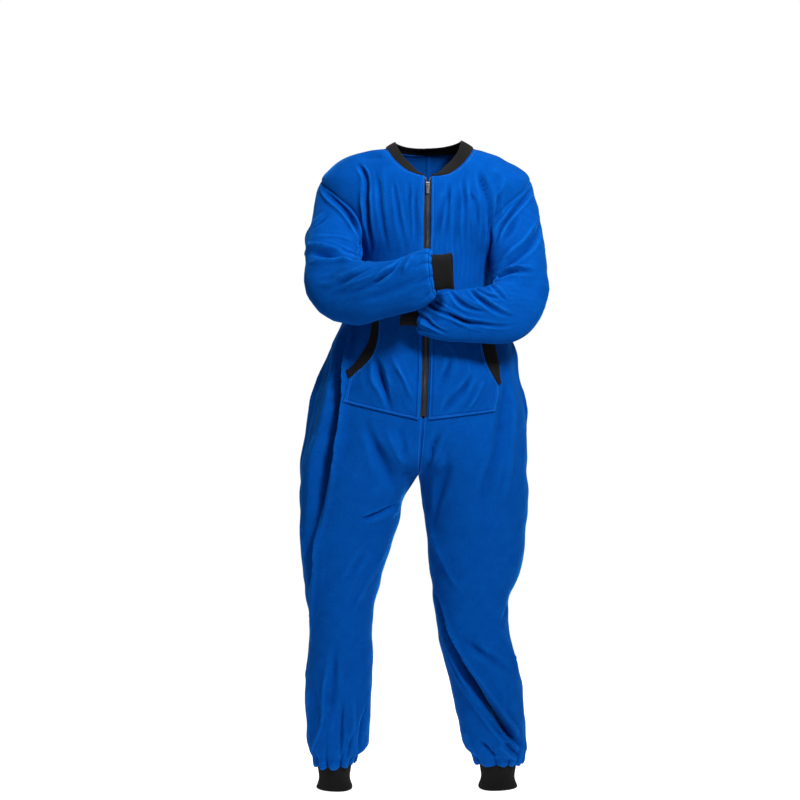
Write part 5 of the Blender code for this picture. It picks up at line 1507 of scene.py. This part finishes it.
def rib_lift(section, rib):
    """How far the ribs lift a section: from -RIB_DEPTH in a valley to 0 on a crest of the outer
    face, and the other way round on the inner face, so that they stand out on both."""
    lift = RIB_DEPTH * section[:, 2:3] * (0.5 + 0.5 * signed_power(rib, 0.7)) - RIB_DEPTH
    return np.where(section[:, 1:2] > INSIDE_FACE, -lift - RIB_DEPTH, lift)


def even_ring(ring, count):
    """A closed ring of points resampled at even distances."""
    closed = np.concatenate([ring, ring[:1]])
    run = run_lengths(closed, 0)
    return along_line(closed, run, np.linspace(0, run[-1], count + 1)[:-1])


# %%
def build_cuff(name, node, ring, middle, axis, kind):
    """A rib cuff: the seam's ring carried along the axis, waisted, with its ribs."""
    length, sizes = CUFF_SIZES[kind]
    around = run_lengths(np.concatenate([ring, ring[:1]]), 0)[-1]
    ribs = int(around / RIB_PITCH)
    ring = even_ring(ring, ribs * RIB_POINTS)
    turn = 2 * math.pi * np.arange(len(ring)) / len(ring)
    outward = np.cross(unit(np.roll(ring, -1, axis=0) - np.roll(ring, 1, axis=0)), axis)
    if np.sum(outward * (ring - middle)) < 0:
        outward = -outward
    outward = unit(outward)
    section = band_section(length, CUFF_WALL)
    share = np.clip(section[:, 0] / length, 0.0, 1.0)
    size = spline(np.array(sizes), share * (len(sizes) - 1))
    rib = np.cos(ribs * turn)
    slack = 0.7 * MM * np.sin(2 * turn + 1.0)
    slack = slack * np.sin(math.pi * 2.2 * share[:, None] + np.sin(3 * turn))
    lift = rib_lift(section, rib) + slack
    along = SEAM_GAP + section[:, 0]
    droop = 1.2 * MM * share[:, None] ** 2 * np.sin(turn * 2 + 0.6)
    points = middle + size[:, None, None] * (ring - middle)[None]
    points = points + (lift - section[:, 1:2])[..., None] * outward[None]
    points = points + (along[:, None] + droop)[..., None] * axis
    piece = ring_piece(name, points, RIB_CLOTH, closed=True)
    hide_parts(node)
    return piece


CUFF_ANGLES = np.linspace(0, 360, 241)[:-1]
for wearer_side in SIDES:
    last_ring = [float(len(SLEEVE_RINGS[wearer_side]) - 1)]
    middle, axis = (values[0] for values in sleeve_ring_frame(wearer_side, last_ring)[:2])
    ring = plain_sleeve_point(wearer_side, last_ring, CUFF_ANGLES)[0]
    build_cuff(f"rib_wrist_cuff_{wearer_side}", f"wrist_cuff_{wearer_side}", ring, middle,
               axis, "wrist")
    ring = body_point(wearer_side, float(ANKLE_RING), CUFF_ANGLES) + [0.0, 0.0, HEM_LIFT]
    middle = 0.5 * (ring.min(axis=0) + ring.max(axis=0))
    build_cuff(f"rib_ankle_cuff_{wearer_side}", f"ankle_cuff_{wearer_side}", ring, middle,
               np.array([0.0, 0.0, -1.0]), "ankle")


# %%
def neck_points(side, face):
    """Points and normals along one quarter of the neck seam, from the shoulder to the middle."""
    place = neck_place(side, face, np.linspace(0, 1, 160))
    return body_point(side, *place), body_normal(side, *place)


def build_neckband():
    """The rib neckband, from its right end at the zip round the back to its left end."""
    quarters = [("right", "front", -1), ("right", "back", 1),
                ("left", "back", -1), ("left", "front", 1)]
    base, normals = (np.concatenate(values) for values in zip(*(
        [values[::order] for values in neck_points(side, face)] for side, face, order in quarters)))
    run = run_lengths(base, 0)
    keep = np.concatenate([[True], np.diff(run) > 1e-6])
    base, normals, run = base[keep], normals[keep], run[keep]
    ribs = int(run[-1] / RIB_PITCH)
    at = np.linspace(0, run[-1], ribs * RIB_POINTS + 1)
    base, normals = along_line(base, run, at), unit(along_line(normals, run, at))
    inward = unit((NECK_AXIS - base) * [1.0, 1.0, 0.0])
    lean = math.radians(BAND_LEAN)
    rise = unit(inward * math.sin(lean) + np.array([0.0, 0.0, 1.0]) * math.cos(lean))
    from_end = np.abs(base[:, 0] - NECK_AXIS[0]) - ZIP_HALF_OPENING
    share = np.where(base[:, 1] < NECK_AXIS[1], smooth(from_end / BAND_TAPER), 1.0)
    leftward = np.clip(0.5 + 0.5 * (base[:, 0] - NECK_AXIS[0]) / BAND_SIDE_REACH, 0.0, 1.0)
    full = BAND_HEIGHT["right"] + (BAND_HEIGHT["left"] - BAND_HEIGHT["right"]) * leftward
    height = BAND_END_HEIGHT + (full - BAND_END_HEIGHT) * share
    outward = np.cross(np.gradient(base, axis=0), rise)
    faces_out = np.sum(outward * normals, axis=-1, keepdims=True) > 0
    outward = unit(np.where(faces_out, outward, -outward))
    section = band_section(BAND_HEIGHT["right"], BAND_WALL)
    along = section[:, 0] / BAND_HEIGHT["right"]
    rib = np.cos(2 * math.pi * np.arange(len(base)) / RIB_POINTS)
    lift = rib_lift(section, rib)
    crown = BAND_CROWN * np.sin(math.pi * np.clip(along, 0, 1))[:, None]
    points = base + rise * (SEAM_GAP + along[:, None] * height)[..., None]
    points = points + (lift + crown - section[:, 1:2])[..., None] * outward
    piece = ring_piece("rib_neckband", points, RIB_CLOTH, closed=False)
    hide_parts("collar_band")
    print(f"neckband: {ribs} ribs along {run[-1]:.3f} m")
    return piece


build_neckband()

# %% [markdown]
# ## Pockets and their bindings

# %%
POCKET_STITCH = 5.4 * MM
# How far a pocket billows, and the distances from its edges over which it does
POCKET_BILLOW, BILLOW_START, BILLOW_RUN = 3.2 * MM, 8 * MM, 45 * MM
# Depth and width of the roll at a pocket's edge, of the dip under its stitches and of the swell
# between the two
POCKET_ROLL, POCKET_DIP = (0.9 * MM, 1.0 * MM), (1.2 * MM, 1.3 * MM)
POCKET_SWELL, POCKET_SWELL_AT = (1.5 * MM, 1.7 * MM), 2.6 * MM


def dressed_front(side, distance, z, lift):
    """The front panel's surface at distances from the middle plane, lifted along its normals."""
    ring = ring_at(side, z)
    return dressed_body(side, ring, angle_at(side, ring, distance), lift)


def resample(curve, places):
    """A curve's points at distances along it."""
    return along_line(curve, run_lengths(curve, 0), places)


def opening_line(table):
    """The curve of a hand opening through a table's places."""
    rows = np.array(table[:OPENING_POINTS])
    return spline(rows, np.linspace(0, OPENING_POINTS - 1, 60))


# %%
def build_pocket(side):
    """A patch pocket with turned, stitched edges, and the rib binding of its hand opening."""
    opening = opening_line(POCKET_EDGE[side])
    rest = spline(np.array(POCKET_EDGE[side][OPENING_POINTS - 1 :]), np.linspace(0, 2, 20))
    outline = np.concatenate([opening, rest[1:]])
    outline = resample(outline, edge_places(run_lengths(outline, 0)[-1], POCKET_ROWS))
    distance, top, bottom = POCKET_INNER_EDGE
    down = (outline[:, 1] - outline[0, 1]) / (outline[-1, 1] - outline[0, 1])
    inner = np.stack([np.full(len(outline), distance), top + (bottom - top) * down], axis=-1)
    width = np.linalg.norm(outline - inner, axis=-1)
    share = edge_places(width, POCKET_COLUMNS) / width[:, None]
    grid = blend(inner[:, None], outline[:, None], share[..., None])
    from_inner, from_outer = share * width[:, None], (1 - share) * width[:, None]
    run = run_lengths(grid, 0)
    from_bottom = run[-1:] - run
    edge = np.minimum(np.minimum(from_outer, from_bottom), from_inner)
    billow = POCKET_BILLOW * smooth((edge - BILLOW_START) / BILLOW_RUN)
    pressed = groove(edge, *POCKET_ROLL) + groove(edge - POCKET_STITCH, *POCKET_DIP)
    pressed = pressed - groove(edge - POCKET_SWELL_AT, *POCKET_SWELL)
    lift = POCKET_GAP + FLEECE + billow + pressed
    points, normals = dressed_front(side, grid[..., 0], grid[..., 1], lift)
    stitch_along(f"pocket_{side}", points, normals, from_outer, POCKET_STITCH)
    down = np.swapaxes(points, 0, 1), np.swapaxes(normals, 0, 1)
    stitch_along(f"pocket_{side}", *down, from_bottom.T, POCKET_STITCH)
    piece = wall_piece(f"fleece_pocket_{side}", points, normals, FLEECE, FLEECE_CLOTH)
    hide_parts(f"pocket_{side}")
    edge_line = opening_line(BINDING_EDGE[side])
    start = opening + BINDING_GAP * unit(edge_line - opening)
    length = run_lengths(start, 0)[-1]
    places = np.linspace(0, 1, BINDING_ROWS + 1)
    start = resample(start, places * length)
    edge_line = resample(edge_line, places * run_lengths(edge_line, 0)[-1])
    share = 0.5 - 0.5 * np.cos(np.linspace(0, math.pi, BINDING_COLUMNS + 1))
    grid = blend(start[:, None], edge_line[:, None], share[:, None])
    crown = BINDING_CROWN * np.sqrt(np.clip(1 - (2 * share - 1) ** 4, 0.0, 1.0)) - 0.5 * MM
    lift = np.broadcast_to(POCKET_GAP + RIB_KNIT + crown, grid.shape[:2])
    points, normals = dressed_front(side, grid[..., 0], grid[..., 1], lift)
    piece = wall_piece(f"rib_pocket_binding_{side}", points, normals, RIB_KNIT, RIB_CLOTH)
    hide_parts(f"pocket_binding_{side}")


for wearer_side in SIDES:
    build_pocket(wearer_side)

# %% [markdown]
# ## Zip

# %%
ZIP_TOP_Z = -0.066
TAPE_WALL, TAPE_INNER, TAPE_OUTER, TAPE_GAP = 1.0 * MM, 1.6 * MM, 14.0 * MM, 1.4 * MM
SLIDER_Z = -0.087
TOOTH_PITCH, TOOTH_WIDTH, TOOTH_TALL, TOOTH_THICK = 1.9 * MM, 3.6 * MM, 1.25 * MM, 1.9 * MM
# Layers of a tooth from its face back: height above its base, and size; and their corners
TOOTH_LAYERS = ((TOOTH_THICK, 0.72), (0.55 * TOOTH_THICK, 1.0), (0.1 * MM, 1.0))
TOOTH_CORNERS = ((-0.5, -0.5), (0.5, -0.5), (0.5, 0.5), (-0.5, 0.5))
# Places nearer the middle line than this are read here and moved back
LEAST_DISTANCE = 0.1 * MM
SPLAY = 4.6 * MM
# Teeth start and end this far inside the zip's ends, and sit this share of their width outwards
TEETH_START, TEETH_END, TOOTH_OUT = 2 * MM, 6 * MM, 0.34


def splay_at(z):
    """How far each half of the zip stands from the middle above the slider."""
    return SPLAY * smooth((z - SLIDER_Z) / (ZIP_TOP_Z - SLIDER_Z))


def zip_point(side, distance, z, sink):
    """A place on the zip: distance from the middle line, sunk below the fronts' surface."""
    return dressed_front(side, np.abs(distance), z, -sink)


def build_tape(side):
    """The tape that shows beside the teeth; above the slider it splays with them."""
    z = np.linspace(ZIP_TOP_Z, ZIP_BOTTOM_Z, 160)[:, None]
    across = np.linspace(TAPE_INNER, TAPE_OUTER, 10)[None, :]
    shift = splay_at(z) * (1 - (across - TAPE_INNER) / (TAPE_OUTER - TAPE_INNER))
    points, normals = zip_point(side, across + shift, z, FLEECE + TAPE_GAP)
    piece = wall_piece(f"woven_zip_tape_{side}", points, normals, TAPE_WALL, TAPE_CLOTH)
    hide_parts(f"zip_tape_{side}")


# %%
def build_teeth():
    """Zip teeth: rounded blocks whose halves mesh below the slider and part above it."""
    teeth = []
    for side, sign in SIDES.items():
        offset = 0.5 * TOOTH_PITCH if side == "left" else 0.0
        z = np.arange(ZIP_TOP_Z - TEETH_START - offset, ZIP_BOTTOM_Z + TEETH_END, -TOOTH_PITCH)
        corners = []
        for above_base, grow in TOOTH_LAYERS:
            for dx, dz in TOOTH_CORNERS:
                distance = splay_at(z) + TOOTH_OUT * TOOTH_WIDTH + dx * TOOTH_WIDTH * grow
                points, _ = zip_point(side, np.maximum(distance, LEAST_DISTANCE),
                                      z + dz * TOOTH_TALL * grow, FLEECE + TAPE_GAP - above_base)
                points[:, 0] += np.where(distance < LEAST_DISTANCE, sign * distance, 0.0)
                corners.append(points)
        teeth.append(np.stack(corners, axis=1))
    teeth = np.concatenate(teeth)
    walls = [(level + i, level + (i + 1) % 4, level + 4 + (i + 1) % 4, level + 4 + i)
             for level in (0, 4) for i in range(4)]
    block = np.array(walls + [(3, 2, 1, 0), (8, 9, 10, 11)])
    starts = teeth.shape[1] * np.arange(len(teeth))[:, None, None]
    piece = make_piece("zip_teeth", teeth, block[None] + starts, TEETH, angle=45)
    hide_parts("zip_chain")
    print(f"zip: {len(teeth)} teeth")


for wearer_side in SIDES:
    build_tape(wearer_side)
build_teeth()
for node in ("zip_slider", "zip_pull_tab"):
    piece = frame["nodes"][node]
    piece.data.materials.clear()
    piece.data.materials.append(NICKEL)

# %% [markdown]
# ## Topstitching

# %%
STITCH_LENGTH, STITCH_GAP, STITCH_RADIUS = 3.2 * MM, 1.0 * MM, 0.45 * MM
# Share of a stitch's length, rise of its middle and its thickness, both in thread radii
STITCH_SHAPE = ((0.0, -0.6, 0.7), (0.25, 0.3, 1.0), (0.75, 0.3, 1.0), (1.0, -0.6, 0.7))
THREAD_SIDES = 6


def stitches(line, normals):
    """Threads along a line: each arches out of the cloth and goes back in at its ends."""
    around = 2 * math.pi * np.arange(THREAD_SIDES) / THREAD_SIDES
    run = run_lengths(line, 0)
    starts = np.arange(STITCH_GAP, run[-1] - STITCH_LENGTH, STITCH_LENGTH + STITCH_GAP)
    sections = []
    for step, rise, size in STITCH_SHAPE:
        at = starts + step * STITCH_LENGTH
        normal = unit(along_line(normals, run, at))
        ahead = along_line(line, run, at + MM) - along_line(line, run, at - MM)
        across = unit(np.cross(ahead, normal))
        ring = np.cos(around)[:, None] * across[:, None] + np.sin(around)[:, None] * normal[:, None]
        centre = along_line(line, run, at) + rise * STITCH_RADIUS * normal
        sections.append(centre[:, None] + size * STITCH_RADIUS * ring)
    return np.stack(sections, axis=1)


def build_stitches():
    """One piece of thread for each sewn piece, from its rows of stitches."""
    count = len(STITCH_SHAPE) * THREAD_SIDES
    index = np.arange(count).reshape(-1, THREAD_SIDES)
    index = np.concatenate([index, index[:, :1]], axis=1)
    side = strip(index[:-1, :-1], index[:-1, 1:], index[1:, 1:], index[1:, :-1])
    last = count - THREAD_SIDES
    first_end = [(3, 2, 1, 0), (5, 4, 3, 0)]
    last_end = [(last, last + 1, last + 2, last + 3), (last, last + 3, last + 4, last + 5)]
    thread = np.concatenate([side, first_end, last_end])
    for name in sorted({name for name, _, _ in STITCH_LINES}):
        made = [stitches(line, normals) for piece, line, normals in STITCH_LINES if piece == name]
        points = np.concatenate(made).reshape(-1, 3)
        starts = count * np.arange(len(points) // count)[:, None, None]
        piece = make_piece(f"stitches_{name}", points, thread[None] + starts, THREAD)
        print(f"{name}: {len(points) // count} stitches")


build_stitches()

# %% [markdown]
# ## Studio, light and camera

# %%
FLOOR_Z, FLOOR_RADIUS, FLOOR_SIDES = -1.53, 1.5, 96
# Lamps: place, the point they face, width, power and colour
LAMPS = {
    "key": ((1.15, -2.4, 1.55), (0.0, 0.0, -0.16), 0.7, 17.0, (1.0, 0.99, 0.97)),
    "fill": ((-2.4, -2.6, 0.6), (0.0, 0.0, -0.7), 1.2, 6.0, (0.97, 0.98, 1.0)),
    "top": ((-0.1, 0.0, 2.0), (0.0, 0.0, -0.4), 1.0, 19.0, (1.0, 1.0, 1.0)),
    "edge_right": ((-2.1, 1.9, 0.9), (0.0, 0.0, -0.6), 1.0, 8.0, (1.0, 1.0, 1.0)),
    "edge_left": ((1.9, 2.2, 1.1), (0.0, 0.0, -0.6), 0.8, 14.0, (1.0, 1.0, 1.0)),
}
KEY_SPREAD = math.radians(60)
# Strength of the white surround where it is seen and where it lights the cloth
SURROUND_SEEN, SURROUND_LIT = 1.0, 0.15


def look_at(item, target):
    """Turns a lamp towards a point."""
    item.rotation_euler = (Vector(target) - item.location).to_track_quat("-Z", "Y").to_euler()


def add_light(name, place, target, size, power, colour):
    """A round soft lamp of a width in metres and a power in watts."""
    light = bpy.data.lights.new(name, "AREA")
    light.shape, light.size, light.energy, light.color = "DISK", size, power, colour
    item = link_object(name, light)
    item.location = place
    look_at(item, target)
    return item


# %%
def build_studio():
    """A round pale floor under a white surround, and soft lights."""
    turn = np.linspace(0, 2 * math.pi, FLOOR_SIDES, endpoint=False)
    points = [(FLOOR_RADIUS * math.cos(t), FLOOR_RADIUS * math.sin(t), FLOOR_Z) for t in turn]
    mesh = bpy.data.meshes.new("studio_floor")
    mesh.from_pydata(points, [], [tuple(range(FLOOR_SIDES))])
    mesh.shade_smooth()
    mesh.materials.append(spotted_material(
        "studio paper", (3.0,), [(0.3, (0.58, 0.58, 0.585)), (0.7, (0.60, 0.60, 0.605))],
        Roughness=0.9, Specular_IOR_Level=0.1, Emission_Color=(1.0, 1.0, 1.0, 1.0),
        Emission_Strength=0.90,
    ))
    floor = link_object("studio_floor", mesh)
    build_world()
    lights = {name: add_light(name, *lamp) for name, lamp in LAMPS.items()}
    lights["key"].data.spread = KEY_SPREAD
    print(f"lamps: {list(lights)}")


def build_world():
    """A white surround that is full white where it is seen and dim where it lights the cloth."""
    world = bpy.data.worlds.new("studio")
    bpy.context.scene.world = world
    world.use_nodes = True
    tree = world.node_tree
    seen = tree.nodes["Background"]
    lit = tree.nodes.new("ShaderNodeBackground")
    for node, strength in ((seen, SURROUND_SEEN), (lit, SURROUND_LIT)):
        node.inputs["Color"].default_value = (1.0, 1.0, 1.0, 1.0)
        node.inputs["Strength"].default_value = strength
    ray = tree.nodes.new("ShaderNodeLightPath")
    mix = tree.nodes.new("ShaderNodeMixShader")
    tree.links.new(ray.outputs["Is Camera Ray"], mix.inputs["Fac"])
    tree.links.new(lit.outputs["Background"], mix.inputs[1])
    tree.links.new(seen.outputs["Background"], mix.inputs[2])
    tree.links.new(mix.outputs["Shader"], tree.nodes["World Output"].inputs["Surface"])


def build_camera():
    """The camera stands in front, pitched a little down."""
    camera = bpy.data.cameras.new("camera")
    camera.lens, camera.sensor_width = LENS, SENSOR
    item = link_object("camera", camera)
    item.location = CAMERA_PLACE
    item.rotation_euler = (math.pi / 2 - CAMERA_PITCH, 0.0, 0.0)
    bpy.context.scene.camera = item


build_studio()
build_camera()
bpy.context.scene.view_settings.view_transform = "Standard"

# %% [markdown]
# ## Finish

# %%
for name, area in SHEET_AREAS.items():
    print(f"{name}: {area:.3f} square metres of cloth")
